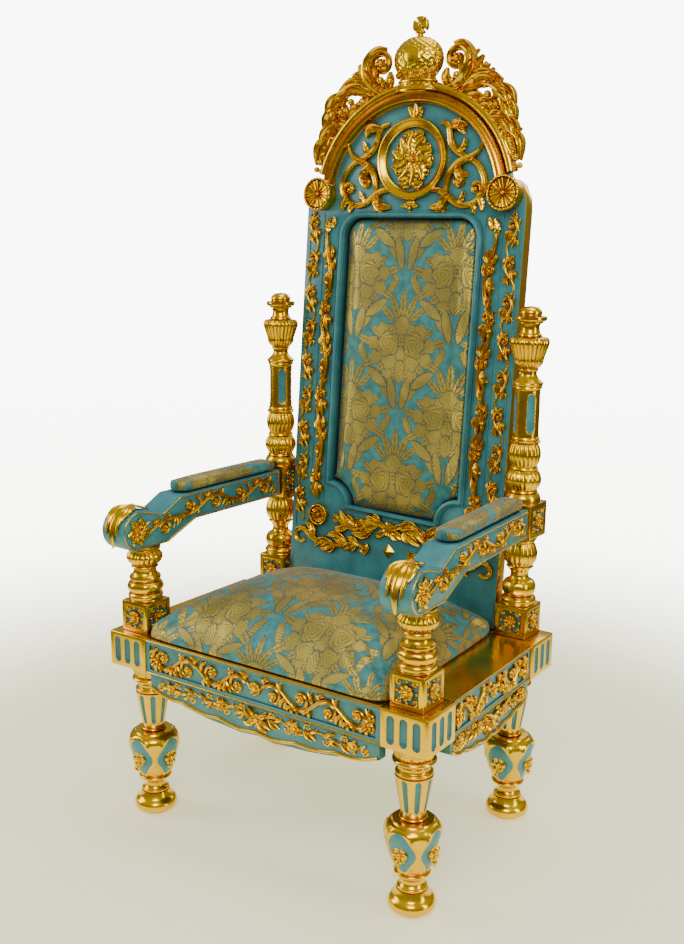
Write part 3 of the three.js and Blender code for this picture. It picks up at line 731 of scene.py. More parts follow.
def rearUpperRows():
    rows = [(36.5, 292)] + sweepRows([(37, 296), (36, 304), (32, 311)], 2.2) + bead(312, 318, 30, 27, 4)
    rows += sweepRows([(29, 319), (35, 330), (37, 341), (34, 352), (28, 360)], 1.9)
    rows += bead(361, 367, 29.5, 26, 4)
    rows += sweepRows([(26, 368), (31, 380), (33.5, 394), (31, 408), (27, 416)], 1.9)
    rows += bead(417, 424, 32, 27, 5)
    rows += bead(425, 431, 29, 26.5, 4) + straightRows((26.5, 432), (26.3, 530), 2.4)
    rows += bead(531, 537, 30, 27, 4) + sweepRows([(30, 538), (31.5, 543), (27, 548)], 1.8)
    rows += sweepRows([(22, 552), (17.6, 560), (17.6, 568)], 2.0) + bead(568, 573, 21, 18, 4)
    rows += sweepRows([(20, 574), (27.5, 583), (33, 600), (39, 618), (41, 628), (37.5, 636)], 2.2)
    rows += [(30, 637.5), (24, 638)] + bead(638, 644, 24.5, 22, 4)
    rows += sweepRows([(21, 645), (18.6, 655), (20, 664)], 2.4)
    rows += bead(665, 669, 26, 23, 3) + sweepRows([(27, 669), (32.5, 672), (33, 679)], 1.8)
    rows += [(27, 680), (21.5, 681)]
    rows += sweepRows([(21.5, 681), (23, 686), (21, 692), (13, 698), (0, 700)], 1.2)
    return [(r, z + 427) for r, z in rows]


def carvedRear(angle, r, z):
    z -= 427
    if 88 < z < 120:
        return 0.9 * math.cos(8 * angle) * math.sin(math.pi * (z - 88) / 32), 0.0
    if 154 < z < 205:
        return reeds(angle, 18, 2.6), 0.0
    if 319 < z < 360:
        return reeds(angle, 20, 3.0), 0.0
    if 368 < z < 416:
        return reeds(angle, 18, 2.4), 0.0
    if 432 < z < 530:
        return slotCarve(angle, z, 4, 440, 522, 8.5, 26.3, 4.2, math.pi / 4)
    if 575 < z < 637:
        change = reeds(angle, 24, 3.2)
        return (change + leafCollar(angle, z, 8, 574, 592, 2.2) * 0.6), 0.0
    return 0.0, 0.0


def panelBlock(name, low, high, half, margin=9, depth=3.0, edge=1.6):
    # a square block with a sunk, painted panel in each side; sizes in millimetres
    clearSelection()
    bpy.ops.mesh.primitive_cube_add(size=1, location=(0, 0, (low + high) / 2))
    block = bpy.context.object
    block.name = name
    block.scale = (2 * half, 2 * half, high - low)
    settle(block)
    pick(block)
    bpy.ops.object.mode_set(mode="EDIT")
    bpy.ops.mesh.select_all(action="DESELECT")
    bpy.ops.object.mode_set(mode="OBJECT")
    for face in block.data.polygons:
        face.select = abs(face.normal.z) < 0.5
    bpy.ops.object.mode_set(mode="EDIT")
    bpy.ops.mesh.inset(thickness=margin, depth=0, use_individual=True)
    bpy.ops.mesh.inset(thickness=1.5, depth=1.0, use_individual=True)
    bpy.ops.mesh.inset(thickness=1.5, depth=-1.0, use_individual=True)
    bpy.ops.mesh.inset(thickness=0.6, depth=-depth, use_individual=True)
    bpy.ops.object.mode_set(mode="OBJECT")
    paint = block.data.attributes.new("paint", "FLOAT", "POINT")
    for face in block.data.polygons:
        if face.select:
            for corner in face.vertices:
                paint.data[corner].value = 1.0
    bake(block, "BEVEL", width=edge, segments=2, limit_method="ANGLE", angle_limit=math.radians(60))
    smooth(block, 30)
    return block


def carvedLeaf(points, width, lobes=5, rise=6.0, curl=3.0, columns=8):
    # an acanthus leaf whose midrib follows the points, from its root to its tip
    clearSelection()
    bpy.ops.mesh.primitive_grid_add(x_subdivisions=columns, y_subdivisions=lobes * 5, size=2)
    leaf = bpy.context.object
    spine = smoothPath(points, 24)
    length = sum((b - a).length for a, b in zip(spine, spine[1:]))
    for v in leaf.data.vertices:
        u, s = (v.co.y + 1) / 2, v.co.x
        side = abs(s)
        swell = math.sin(math.pi * min(1.0, 0.08 + 0.92 * u) ** 0.75) ** 0.75
        lobe = 0.70 + 0.30 * math.sin(math.pi * ((u * lobes) % 1.0) ** 0.8) ** 0.7
        if u > 0.97 or u < 0.03:
            lobe = 0.70
        half = max(0.16 * (1 - u), swell * lobe) * width
        reach = min(0.9999, u + 0.45 * side * half / length * (1 - u)) * 24
        k = int(reach)
        here = spine[k].lerp(spine[k + 1], reach - k)
        along = (spine[min(24, k + 1)] - spine[max(0, k - 1)]).normalized()
        ridge = math.cos(2 * math.pi * (u * lobes - 0.5 - 1.1 * (side - 1)))
        height = rise * (0.80 - 0.50 * side ** 2 + 0.055 * ridge * side ** 0.5)
        height += rise * 0.22 * math.exp(-(side / 0.14) ** 2) * (1 - u)
        height = height * (0.35 + 0.65 * math.sin(math.pi * min(0.96, 0.1 + 0.8 * u)) ** 0.6)
        height += curl * max(0.0, u - 0.6) ** 2 * 6.0
        v.co = (here.x - along.y * s * half, here.y + along.x * s * half, height)
    return leaf


def sectionCurve(name, points):
    drawing = bpy.data.curves.new(name, "CURVE")
    drawing.dimensions = "2D"
    drawing.fill_mode = "NONE"
    spline = drawing.splines.new("POLY")
    spline.points.add(len(points) - 1)
    for point, (x, y) in zip(spline.points, points):
        point.co = (x, y, 0, 1)
    spline.use_cyclic_u = True
    thing = bpy.data.objects.new(name, drawing)
    bpy.context.scene.collection.objects.link(thing)
    return thing


roundSection = sectionCurve("roundSection", [(math.cos(math.pi * i / 6), 1.05 * math.sin(math.pi * i / 6))
                                             for i in range(7)])
hollowSection = sectionCurve("hollowSection", [(1, 0), (1, 0.7), (0.86, 1.0), (0.64, 0.92), (0.3, 0.46),
                                               (0, 0.36),
                                               (-0.3, 0.46), (-0.64, 0.92), (-0.86, 1.0), (-1, 0.7),
                                               (-1, 0)])


def carvedRibbon(points, widths, section=None, tall=1.0, count=None, closed=False):
    # a carved stem or scroll; widths are half-widths, spread evenly over its length
    count = count or max(8, len(points) - 1)
    path = evenPath([Vector(p) for p in points], count) if len(points) > 24 else smoothPath(points, count)
    if closed:
        path = path[:-1]
    drawing = bpy.data.curves.new("ribbon", "CURVE")
    drawing.dimensions = "2D"
    drawing.fill_mode = "NONE"
    spline = drawing.splines.new("POLY")
    spline.points.add(len(path) - 1)
    for i, (point, place) in enumerate(zip(spline.points, path)):
        point.co = (place.x, place.y, 0, 1)
        t = i / (len(path) - 1) * (len(widths) - 1)
        k = min(int(t), len(widths) - 2) if len(widths) > 1 else 0
        point.radius = widths[0] if len(widths) == 1 else widths[k] + (widths[k + 1] - widths[k]) * (t - k)
    spline.use_cyclic_u = closed
    drawing.bevel_mode = "OBJECT"
    drawing.bevel_object = section or roundSection
    drawing.use_fill_caps = True
    ribbon = bpy.data.objects.new("ribbon", drawing)
    bpy.context.scene.collection.objects.link(ribbon)
    pick(ribbon)
    bpy.ops.object.convert(target="MESH")
    ribbon = bpy.context.object
    for v in ribbon.data.vertices:
        v.co.z *= tall
    return ribbon


def carvedBall(x, y, radius, rise=None, z=0.0, sides=14):
    clearSelection()
    bpy.ops.mesh.primitive_uv_sphere_add(segments=sides, ring_count=8, radius=1, location=(0, 0, 0))
    ball = bpy.context.object
    for v in ball.data.vertices:
        v.co = (x + v.co.x * radius, y + v.co.y * radius, z + v.co.z * (rise or radius))
    return ball


def carvedFlower(x, y, radius, petals=6, rise=5.0, cup=0.5, turn=0.0):
    # a turned disc whose rim and face are cut into petals
    flower = turned("flower", [(0.01, 1), (0.30, 0.98), (0.34, 0.55), (0.55, 0.62), (0.78, 0.85),
                               (0.94, 0.8),
                               (1.0, 0.35), (0.97, -0.2), (0.01, -0.2)], petals * 6)
    flower.data.attributes.remove(flower.data.attributes["paint"])
    for v in flower.data.vertices:
        r, a = math.hypot(v.co.x, v.co.y), math.atan2(v.co.y, v.co.x)
        wave = abs(math.cos(petals * (a + turn) / 2))
        if r > 0.4:
            grow = 1 - 0.22 * (1 - wave ** 0.6)
            v.co.x *= grow
            v.co.y *= grow
            v.co.z -= cup * (1 - wave ** 0.5) * (1 if v.co.z > 0 else 0)
        v.co = (x + v.co.x * radius, y + v.co.y * radius, v.co.z * rise)
    return flower


def carvedCurl(x, y, radius, start, turns, width, section=None, tall=1.0, eye=True):
    # a volute that winds in to a small eye
    parts = [carvedRibbon(volutePoints(x, y, radius, start, turns), [width, width * 0.9, width * 0.45],
                          section, tall, 34)]
    if eye:
        parts.append(carvedBall(x, y, radius * 0.30, width * tall * 1.5, 0.0, 10))
    return parts


def backed(leaves, thickness):
    # joins open leaves and gives them their thickness, downwards
    sheet = joined("leaves", leaves)
    bake(sheet, "SOLIDIFY", thickness=thickness, offset=-1)
    return sheet


def carving(name, leaves, solids, thickness=3.0):
    parts = list(solids)
    if leaves:
        parts.append(backed(leaves, thickness))
    piece = joined(name, parts)
    smooth(piece, 50)
    return piece


def mirrored(piece, name):
    twin = ownCopy(piece, name)
    for v in twin.data.vertices:
        v.co.x = -v.co.x
    twin.data.flip_normals()
    return twin


def lighten(piece, share):
    # keeps this share of the triangles; carved relief loses nothing that shows
    bake(piece, "DECIMATE", ratio=share)
    smooth(piece, 50)
    return piece


def carvedBlade(points, width, tall=1.5):
    # a smooth finger of leaf that swells, then tapers to its tip
    return carvedRibbon(points, [width * k for k in (0.6, 1.2, 1.6, 1.55, 1.2, 0.5)], hollowSection, tall,
                        26)


def carvedFan(root, tips, width, tall=1.5):
    # fingers of leaf that spread from one root; each tip is a place, the middle finger the widest
    blades = []
    for k, (x, y) in enumerate(tips):
        bow = 0.22 * (k - (len(tips) - 1) / 2)
        bend = ((root[0] + x) / 2 - (y - root[1]) * bow, (root[1] + y) / 2 + (x - root[0]) * bow)
        blades.append(carvedBlade([root, bend, (x, y)], width * (1 - 0.12 * abs(bow) / 0.22), tall))
    return blades


def rinceau(length, half, bays, stem=1.7, sign=1):
    # a running scroll along x: a waving stem, and in each bay a curl with a flower and leaves
    solids = []
    bay = length / bays
    wave = [(x * length / (bays * 8),
             sign * half * 0.62 * math.sin(math.pi * x / 8)) for x in range(bays * 8 + 1)]
    solids.append(carvedRibbon(wave, [stem * 1.1, stem * 1.4, stem * 1.4, stem * 1.2], hollowSection, 1.3,
                               bays * 14))
    for i in range(bays):
        s = sign * (1 if i % 2 == 0 else -1)
        cx, cy = (i + 0.52) * bay, -s * half * 0.16
        radius = min(half * 0.80, bay * 0.40)
        solids += carvedCurl(cx, cy, radius, 150 * s, -1.35 * s, stem * 1.4, hollowSection, 1.4, eye=False)
        solids.append(carvedFlower(cx, cy, radius * 0.40, 5, stem * 2.6))
        x0, y0 = (i + 0.18) * bay, s * half * 0.46
        solids += carvedFan((x0, y0), [(x0 - bay * 0.14, s * half * 0.92),
                                       (x0 + bay * 0.06, s * half * 1.0),
                                       (x0 + bay * 0.26, s * half * 0.94)], half * 0.095)
        x1, y1 = (i + 0.80) * bay, s * half * 0.36
        solids += carvedFan((x1, y1), [(x1 - bay * 0.16, s * half * 0.92),
                                       (x1 + bay * 0.04, s * half * 0.98)],
                            half * 0.095)
        x2 = (i + 0.98) * bay
        solids += carvedFan((x2, 0), [(x2 - bay * 0.20, -s * half * 0.86),
                                      (x2 - bay * 0.06, -s * half * 0.96)],
                            half * 0.09)
        for k in range(3):
            solids.append(carvedBall(x0 + bay * (0.50 + 0.05 * k), s * half * (0.50 + 0.16 * (k % 2)), 1.8,
                                     2.6, 0, 8))
    return solids


def planeMatrix(origin, across, up):
    out = Vector(across).cross(Vector(up))
    turn = Matrix((Vector(across), Vector(up), out)).transposed().to_4x4()
    return Matrix.Translation(origin) @ turn @ Matrix.Scale(mm, 4)


def standAt(piece, x, y, name=None):
    piece.name = name or piece.name
    return settle(piece, Matrix.Translation((x, y, 0)) @ Matrix.Scale(mm, 4))


def legFlowers():
    # a flower for each cartouche of the vase
    flowers = []
    for k in range(4):
        parts = [carvedFlower(0, 0, 17, 6, 7), carvedBall(0, 0, 5.5, 5, 5, 12)]
        parts += [carvedBlade([(0, s * 12), (4 * s, s * 20), (0, s * 27)], 3.2, 1.3) for s in (1, -1)]
        flower = lighten(joined("flower", parts), 0.4)
        tilted = Matrix.Rotation(math.pi / 2 * k, 4, "Z") @ Matrix.Translation((0, -46.5, 136))
        flowers.append(settle(flower, tilted @ Matrix.Rotation(math.pi / 2 - 0.12, 4, "X")))
    return flowers


turnedLeg = makeLegMaster()
legMaster = joined("leg", [turnedLeg] + legFlowers())
for end in ("front", "rear"):
    for hand in ("left", "right"):
        node = f"leg_{end}_{hand}"
        spot = middle(node)
        leg = standAt(ownCopy(legMaster), spot.x, spot.y, name=f"turned_{node}")
        finishPiece(leg, [gildedPaint], "gilding", node)
bpy.data.objects.remove(legMaster)
print("legs turned")

postHalf = 36.5


def makeBlockFlower():
    # a flower with leaves to the corners, for the sunk panels of the post blocks
    solids = [carvedFlower(0, 0, 16, 8, 8, 0.5), carvedBall(0, 0, 5, 5, 5, 12)]
    for k in range(4):
        a = math.radians(45 + 90 * k)
        solids += carvedCurl(24 * math.cos(a), 24 * math.sin(a), 6.5, 90 * k + 10, 1.2, 2.4, tall=1.6)
        b = math.radians(90 * k)
        solids.append(carvedBall(21 * math.cos(b), 21 * math.sin(b), 3.4, 4.4, 0, 10))
    return lighten(joined("blockFlower", solids), 0.35)


def blockFlowers(low, high, half, faces):
    out = []
    for k in faces:
        flower = ownCopy(blockFlower)
        face = Matrix.Rotation(math.pi / 2 * k, 4, "Z") @ planeMatrix((0, 3.0 - half, (low + high) / 2),
                                                                      (1, 0, 0),
                                                                      (0, 0, 1)) @ Matrix.Scale(1 / mm, 4)
        out.append(settle(flower, face))
    return out


blockFlower = makeBlockFlower()
for hand in ("left", "right"):
    low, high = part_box(f"front_post_{hand}")
    spot = (low + high) / 2
    parts = [panelBlock("block", 427.3, 495, postHalf), turned("stem", stemRows(68), 96, carvedStem)]
    smooth(parts[1], 38)
    post = joined(f"carved_front_post_{hand}", parts + blockFlowers(427, 495, postHalf, range(4)))
    standAt(post, spot.x, spot.y)
    finishPiece(post, [gildedPaint], "gilding", f"front_post_{hand}")
for hand, side in (("left", -1), ("right", 1)):
    low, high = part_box(f"rear_post_{hand}")
    x = (low.x + high.x) / 2
    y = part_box(f"corner_block_rear_{hand}")[1].y - 0.044
    parts = [panelBlock("block", 427.3, 495, postHalf), turned("lower", rearLowerRows(68), 96, carvedRear),
             panelBlock("armBlock", 645, 719, 38), turned("upper", rearUpperRows(), 108, carvedRear)]
    smooth(parts[1], 38)
    smooth(parts[3], 38)
    parts += blockFlowers(427, 495, postHalf, range(4)) + blockFlowers(645, 719, 38, (1, 2, 3))
    post = joined(f"carved_rear_post_{hand}", parts)
    lean = Matrix.Translation((x, y, 0.427)) @ Matrix.Rotation(-0.011, 4,
                                                               "X") @ Matrix.Translation((0, 0, -0.427))
    settle(post, lean @ Matrix.Scale(mm, 4))
    finishPiece(post, [gildedPaint], "gilding", f"rear_post_{hand}")
bpy.data.objects.remove(blockFlower)
print("posts turned")


blockValues = {"flutes": 3, "pitch": 28, "half": 8.5, "height": 57, "edge": 2.5}


def makeCornerBlock(node, outwardX, outwardY):
    # a gilt block with teal flutes cut into its two outer faces
    look = blockValues
    low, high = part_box(node)
    size = high - low
    clearSelection()
    bpy.ops.mesh.primitive_cube_add(size=1, location=(low + high) / 2)
    block = bpy.context.object
    block.name = f"carved_{node}"
    block.scale = size
    settle(block)
    block.data.materials.append(gilding)
    block.data.materials.append(tealPaint)
    bake(block, "BEVEL", width=look["edge"] * mm, segments=3, limit_method="ANGLE")
    center = (low + high) / 2
    cutters = []
    for axis, way in (("x", outwardX), ("y", outwardY)):
        for i in range(look["flutes"]):
            shift = (i - (look["flutes"] - 1) / 2) * look["pitch"] * mm
            bpy.ops.mesh.primitive_uv_sphere_add(segments=24, ring_count=16, radius=1)
            tool = bpy.context.object
            half = look["half"] * mm
            for v in tool.data.vertices:
                v.co.x, v.co.y = v.co.x * half, v.co.y * half * 0.66
                lift = (look["height"] / 2 - look["half"]) * mm * (1 if v.co.z > 0 else -1)
                v.co.z = v.co.z * half + lift
            tool.data.materials.append(gilding)
            tool.data.materials.append(tealPaint)
            for face in tool.data.polygons:
                face.material_index = 1
            if axis == "x":
                tool.rotation_euler = (0, 0, math.pi / 2)
                tool.location = (center.x + way * size.x / 2, center.y + shift, center.z)
            else:
                tool.location = (center.x + shift, center.y + way * size.y / 2, center.z)
            cutters.append(settle(tool))
    tool = joined("fluteTools", cutters)
    pick(block)
    bake(block, "BOOLEAN", operation="DIFFERENCE", object=tool, solver="EXACT")
    bpy.data.objects.remove(tool)
    smooth(block, 35)
    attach(block, "root")
    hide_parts(node)


def boxPiece(name, low, high, edge=0.0015):
    clearSelection()
    low, high = Vector(low), Vector(high)
    bpy.ops.mesh.primitive_cube_add(size=1, location=(low + high) / 2)
    piece = bpy.context.object
    piece.name = name
    piece.scale = high - low
    settle(piece)
    if edge:
        bake(piece, "BEVEL", width=edge, segments=2, limit_method="ANGLE")
    return piece


railValues = {"margin": 11, "bead": 2.2, "bays": 4, "sideBays": 3}


def railRelief(name, half, height, bays):
    # gilt lines round the sunk panel, and a scroll frieze that is the same on both sides of the middle
    look = railValues
    solids = []
    top = height / 2 - look["margin"] + 3.0
    reach = half - look["margin"] + 2.0
    edge = height / 2 - 3.0
    for y in (edge, -edge):
        solids.append(carvedRibbon([(-half + 1, y), (half - 1, y)], [look["bead"]], tall=2.2, count=8))
    for side in (1, -1):
        piece = joined("half", rinceau(reach - 22, top - 1.0, bays, 2.4))
        solids.append(piece)
        for v in piece.data.vertices:
            v.co.x = side * (v.co.x + 11)
        if side < 0:
            piece.data.flip_normals()
        for curlSide in (1, -1):
            curl = joined("curl", carvedCurl(reach - 14, 11 * curlSide, 12.5, 180, 1.3 * curlSide, 3.2,
                                             hollowSection, 1.6))
            for v in curl.data.vertices:
                v.co.x *= side
            if side < 0:
                curl.data.flip_normals()
            solids.append(curl)
    solids.append(carvedFlower(0, 0, 15, 8, 7.5))
    piece = lighten(joined(name, solids), 0.45)
    smooth(piece, 50)
    return piece


for node, wayX, wayY in (("corner_block_front_left", -1, -1), ("corner_block_front_right", 1, -1),
                         ("corner_block_rear_left", -1, 1), ("corner_block_rear_right", 1, 1)):
    makeCornerBlock(node, wayX, wayY)
low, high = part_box("front_rail")
frontHalf = high.x / mm
seatTop = high.z
railTall = (high.z - low.z) / mm
frontPlane = planeMatrix((0, low.y + 0.003, (low.z + high.z) / 2), (1, 0, 0), (0, 0, 1))
frieze = settle(railRelief("front_rail_carving", frontHalf, railTall, railValues["bays"]), frontPlane)
finishPiece(frieze, [gilding], "gilding")

# the side rails splay with the seat, so their plane is found from the boxes of the corner blocks
frontBlock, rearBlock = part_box("corner_block_front_right"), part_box("corner_block_rear_right")
splay = (frontBlock[1].x - rearBlock[1].x) / (rearBlock[1].y - frontBlock[0].y)
railLow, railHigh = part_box("side_rail_right")
sideHalf = (railHigh.y - railLow.y) / 2 / mm * math.sqrt(1 + splay ** 2)
for hand, side in (("left", -1), ("right", 1)):
    low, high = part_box(f"side_rail_{hand}")
    center = (low + high) / 2
    along = Vector((-side * splay, 1, 0)).normalized() * side
    outerX = side * (railHigh.x - splay * (railHigh.y - railLow.y) / 2)
    plane = planeMatrix((outerX - side * 0.003, center.y, center.z), along, (0, 0, 1))
    frieze = settle(railRelief(f"side_rail_{hand}_carving", sideHalf, railTall, railValues["sideBays"]),
                    plane)
    finishPiece(frieze, [gilding], "gilding")
print("seat rails carved")


def apronEdge(half, drop, u):
    swell = math.cos(math.pi * u / 2) ** 2
    return u * half, -(46 + (drop - 46 - 5) * swell + 5 * abs(math.sin(3 * math.pi * u)) - 12 * abs(u) ** 8)


def apronRelief(name, half):
    solids = []
    edge = [apronEdge(half - 3, 66, 1 - 2 * i / 64) for i in range(65)]
    solids.append(carvedRibbon([(x, y + 3.5) for x, y in edge], [3.4], count=96))
    for side in (1, -1):
        stem = [(0, -26), (half * 0.18, -14), (half * 0.36, -32), (half * 0.54, -16), (half * 0.72, -28),
                (half * 0.88, -18)]
        parts = [carvedRibbon(stem, [3.0, 2.8, 2.4, 1.8], count=60)]
        for t, s in ((0.10, 1), (0.24, -1), (0.40, 1), (0.56, -1), (0.70, 1)):
            x, y = half * t, -22
            parts += carvedCurl(x + 10, y + 9 * s, 9, 200 * s, -1.2 * s, 2.3)
            parts += carvedFan((x, y), [(x + 20, y - 16 * s), (x + 30, y - 12 * s)], 2.4, 1.2)
            parts += carvedFan((x + 16, y + 2 * s), [(x + 34, y + 12 * s), (x + 40, y + 5 * s)], 2.2, 1.2)
        for t in (0.33, 0.80):
            parts.append(carvedFlower(half * t, -22, 11, 6, 5.5))
            for k in range(5):
                a = math.radians(k * 72)
                x, y = half * t + 17 * math.cos(a), -22 + 15 * math.sin(a)
                parts.append(carvedBlade([(half * t + 6 * math.cos(a), -22 + 6 * math.sin(a)), (x, y)],
                                         2.4, 1.2))
        parts += carvedCurl(half * 0.90, -25, 11, 90, 1.3, 3.0)
        piece = joined("half", parts)
        if side < 0:
            for v in piece.data.vertices:
                v.co.x = -v.co.x
            piece.data.flip_normals()
        solids.append(piece)
    solids.append(carvedFlower(0, -30, 15, 8, 6))
    for s in (1, -1):
        solids += carvedFan((0, -30), [(s * 26, -50), (s * 34, -42)], 4.0, 1.2)
        solids += carvedFan((0, -30), [(s * 24, -8), (s * 34, -14)], 3.6, 1.2)
    return lighten(joined(name, solids), 0.42)


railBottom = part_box("front_rail")[0].z
low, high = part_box("apron_front")
plane = planeMatrix((0, low.y, railBottom), (1, 0, 0), (0, 0, 1))
finishPiece(settle(apronRelief("apron_front_carving", high.x / mm), plane), [gilding], "gilding")
for hand, side in (("left", -1), ("right", 1)):
    low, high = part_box(f"apron_{hand}")
    center = (low + high) / 2
    outer = high.x if side > 0 else low.x
    half = (high.y - low.y) / 2 / mm - 2
    along = Vector((-side * splay, 1, 0)).normalized() * side
    plane = planeMatrix((outer - side * splay * half * mm, center.y, railBottom), along, (0, 0, 1))
    finishPiece(settle(apronRelief(f"apron_{hand}_carving", half), plane), [gilding], "gilding")
for node in ("front_rail", "back_rail", "side_rail_left", "side_rail_right", "apron_front", "apron_left",
             "apron_right"):
    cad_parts[node].data.materials.clear()
    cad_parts[node].data.materials.append(tealPaint)
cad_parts["seat_deck"].data.materials.clear()
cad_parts["seat_deck"].data.materials.append(carcaseWood)
print("aprons carved")


def makeLedge():
    # thin gilt plates over the rails and the deck, round the cushion
    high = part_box("seat_cushion")[1]
    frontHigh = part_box("corner_block_front_right")[1]
    rearLow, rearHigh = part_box("corner_block_rear_right")
    top = seatTop
    thick = 0.0016
    frontY, rearY = frontHigh.y + 0.0005, rearLow.y - 0.0005
    plates = []
    for side in (1, -1):
        plate = boxPiece("plate", (0.29, frontY, top + 0.0003), (0.40, rearY, top + thick), 0)
        for v in plate.data.vertices:
            outside = v.co.x > 0.35
            back = (v.co.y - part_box("front_rail")[0].y) * splay
            v.co.x = side * ((frontHigh.x if outside else high.x - 0.030) - back)
        if side < 0:
            plate.data.flip_normals()
        plates.append(plate)
    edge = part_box("front_rail")
    plates.append(boxPiece("plate", (edge[0].x, edge[0].y - 0.0015, top + 0.0003),
                           (edge[1].x, edge[0].y + 0.03, top + thick), 0))
    plates.append(boxPiece("plate", (-rearLow.x + 0.001, high.y - 0.012, top + 0.0003),
                           (rearLow.x - 0.001, rearHigh.y - 0.004, top + thick), 0))
    ledge = joined("gilt_ledge", plates)
    bake(ledge, "BEVEL", width=0.0006, segments=2, limit_method="ANGLE")
    finishPiece(ledge, [gilding], "gilding")


makeLedge()
print("ledge laid")


backValues = {
    "rake": math.atan(0.091),
    "stepBack": 0.069,  # from the rear face of the seat frame to the foot of the board's front
    "half": 280, "foot": 3.2, "shoulder": 894, "shoulderTop": 961, "shoulderX": 232,
    "thickness": 32, "archY": 908, "archRadius": 238,
    "openHalf": 171, "openLow": 214, "openHigh": 878, "corner": 45, "bite": 58,
    "grooveX": 229,
}
look = backValues
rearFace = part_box("corner_block_rear_right")[1].y
leanUp = Vector((0, math.sin(look["rake"]), math.cos(look["rake"])))
backPlane = planeMatrix((0, rearFace - look["stepBack"], seatTop), (1, 0, 0), leanUp)


def openingPath(grow=0.0):
    look = backValues
    x, high = look["openHalf"] + grow, look["openHigh"] + grow
    corner, bite = look["corner"] + grow, look["bite"] - grow
    cut = math.degrees(math.asin(grow / bite))
    right = arcPoints(look["openHalf"], look["openLow"], bite, 180 + cut, 90 - cut, 14)
    right += arcPoints(x - corner, high - corner, corner, 0, 90, 12)
    return right + [(-px, py) for px, py in reversed(right)]


def flatBoard(name, outlines, thickness, edge):
    # a board cut to its outline, holes and all, with eased edges; its face lies at z 0
    drawing = bpy.data.curves.new(name, "CURVE")
    drawing.dimensions = "2D"
    drawing.fill_mode = "BOTH"
    for outline in outlines:
        spline = drawing.splines.new("POLY")
        spline.points.add(len(outline) - 1)
        for point, (x, y) in zip(spline.points, outline):
            point.co = (x, y, 0, 1)
        spline.use_cyclic_u = True
    drawing.extrude = thickness / 2 - edge
    drawing.bevel_depth = edge
    drawing.bevel_resolution = 1
    drawing.offset = -edge
    board = bpy.data.objects.new(name, drawing)
    bpy.context.scene.collection.objects.link(board)
    pick(board)
    bpy.ops.object.convert(target="MESH")
    board = bpy.context.object
    for v in board.data.vertices:
        v.co.z -= thickness / 2
    faceOutwards(board, 0.01)
    return board


def makeBackBoard():
    look = backValues
    half, foot = look["half"], look["foot"]
    side = [(half, foot), (half, look["shoulder"])]
    side += [(half - 3, look["shoulder"] + 26), (half - 16, look["shoulderTop"] - 14),
             (half - 30, look["shoulderTop"] - 3)]
    side += [(look["shoulderX"] + 4, look["shoulderTop"])]
    start = math.degrees(math.asin((look["shoulderTop"] - look["archY"]) / look["archRadius"]))
    arch = arcPoints(0, look["archY"], look["archRadius"], start + 1, 90, 30)
    right = side + arch
    outline = right + [(-x, y) for x, y in reversed(right[:-1])]
    board = flatBoard("carved_back_board", [outline, openingPath(0)], look["thickness"], 3.0)
    sheet = flatBoard("rearSheet", [openingPath(8)], look["thickness"] - 20.5, 1.0)
    for v in sheet.data.vertices:
        v.co.z -= 20.5
    board = joined("carved_back_board", [board, sheet])
    board.data.materials.append(tealPaint)
    board.data.materials.append(gilding)
    for face in board.data.polygons:
        c = face.center
        outside = abs(c.x) > look["half"] - 4 or c.y > look["shoulder"] + 6 and abs(c.x) > 235
        face.material_index = 1 if outside and face.normal.z < 0.9 and face.normal.z > -0.9 else 0
    smooth(board, 35)
    settle(board, backPlane)
    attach(board, "root")
    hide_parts("back_board")


def placeOnBack(piece, *nodes, material=None, slot="gilding"):
    settle(piece, backPlane)
    return finishPiece(piece, [material or gilding], slot, *nodes)


makeBackBoard()
mouldSection = sectionCurve("mouldSection", [(1, 0), (1, 0.35), (0.72, 0.42), (0.62, 0.86), (0.3, 1.0),
                                             (-0.1, 0.96),
                                             (-0.45, 0.6), (-0.62, 0.3), (-0.9, 0.26), (-1, 0.12), (-1, 0)])
frameRibbon = carvedRibbon(openingPath(7), [7.0], mouldSection, 9 / 7, 220, closed=True)
faceOutwards(frameRibbon)
parts = [frameRibbon]
look = backValues
for side in (1, -1):
    for x, width in ((look["grooveX"], 1.5), (267, 1.6), (188.5, 1.2)):
        parts.append(carvedRibbon([(side * x, 205 if x < 200 else 150), (side * x, 885)], [width], count=8))
moulding = joined("carved_panel_moulding", parts)
smooth(moulding, 40)
placeOnBack(moulding, "panel_moulding", material=tealPaint, slot="teal_paint")
print("back board made")


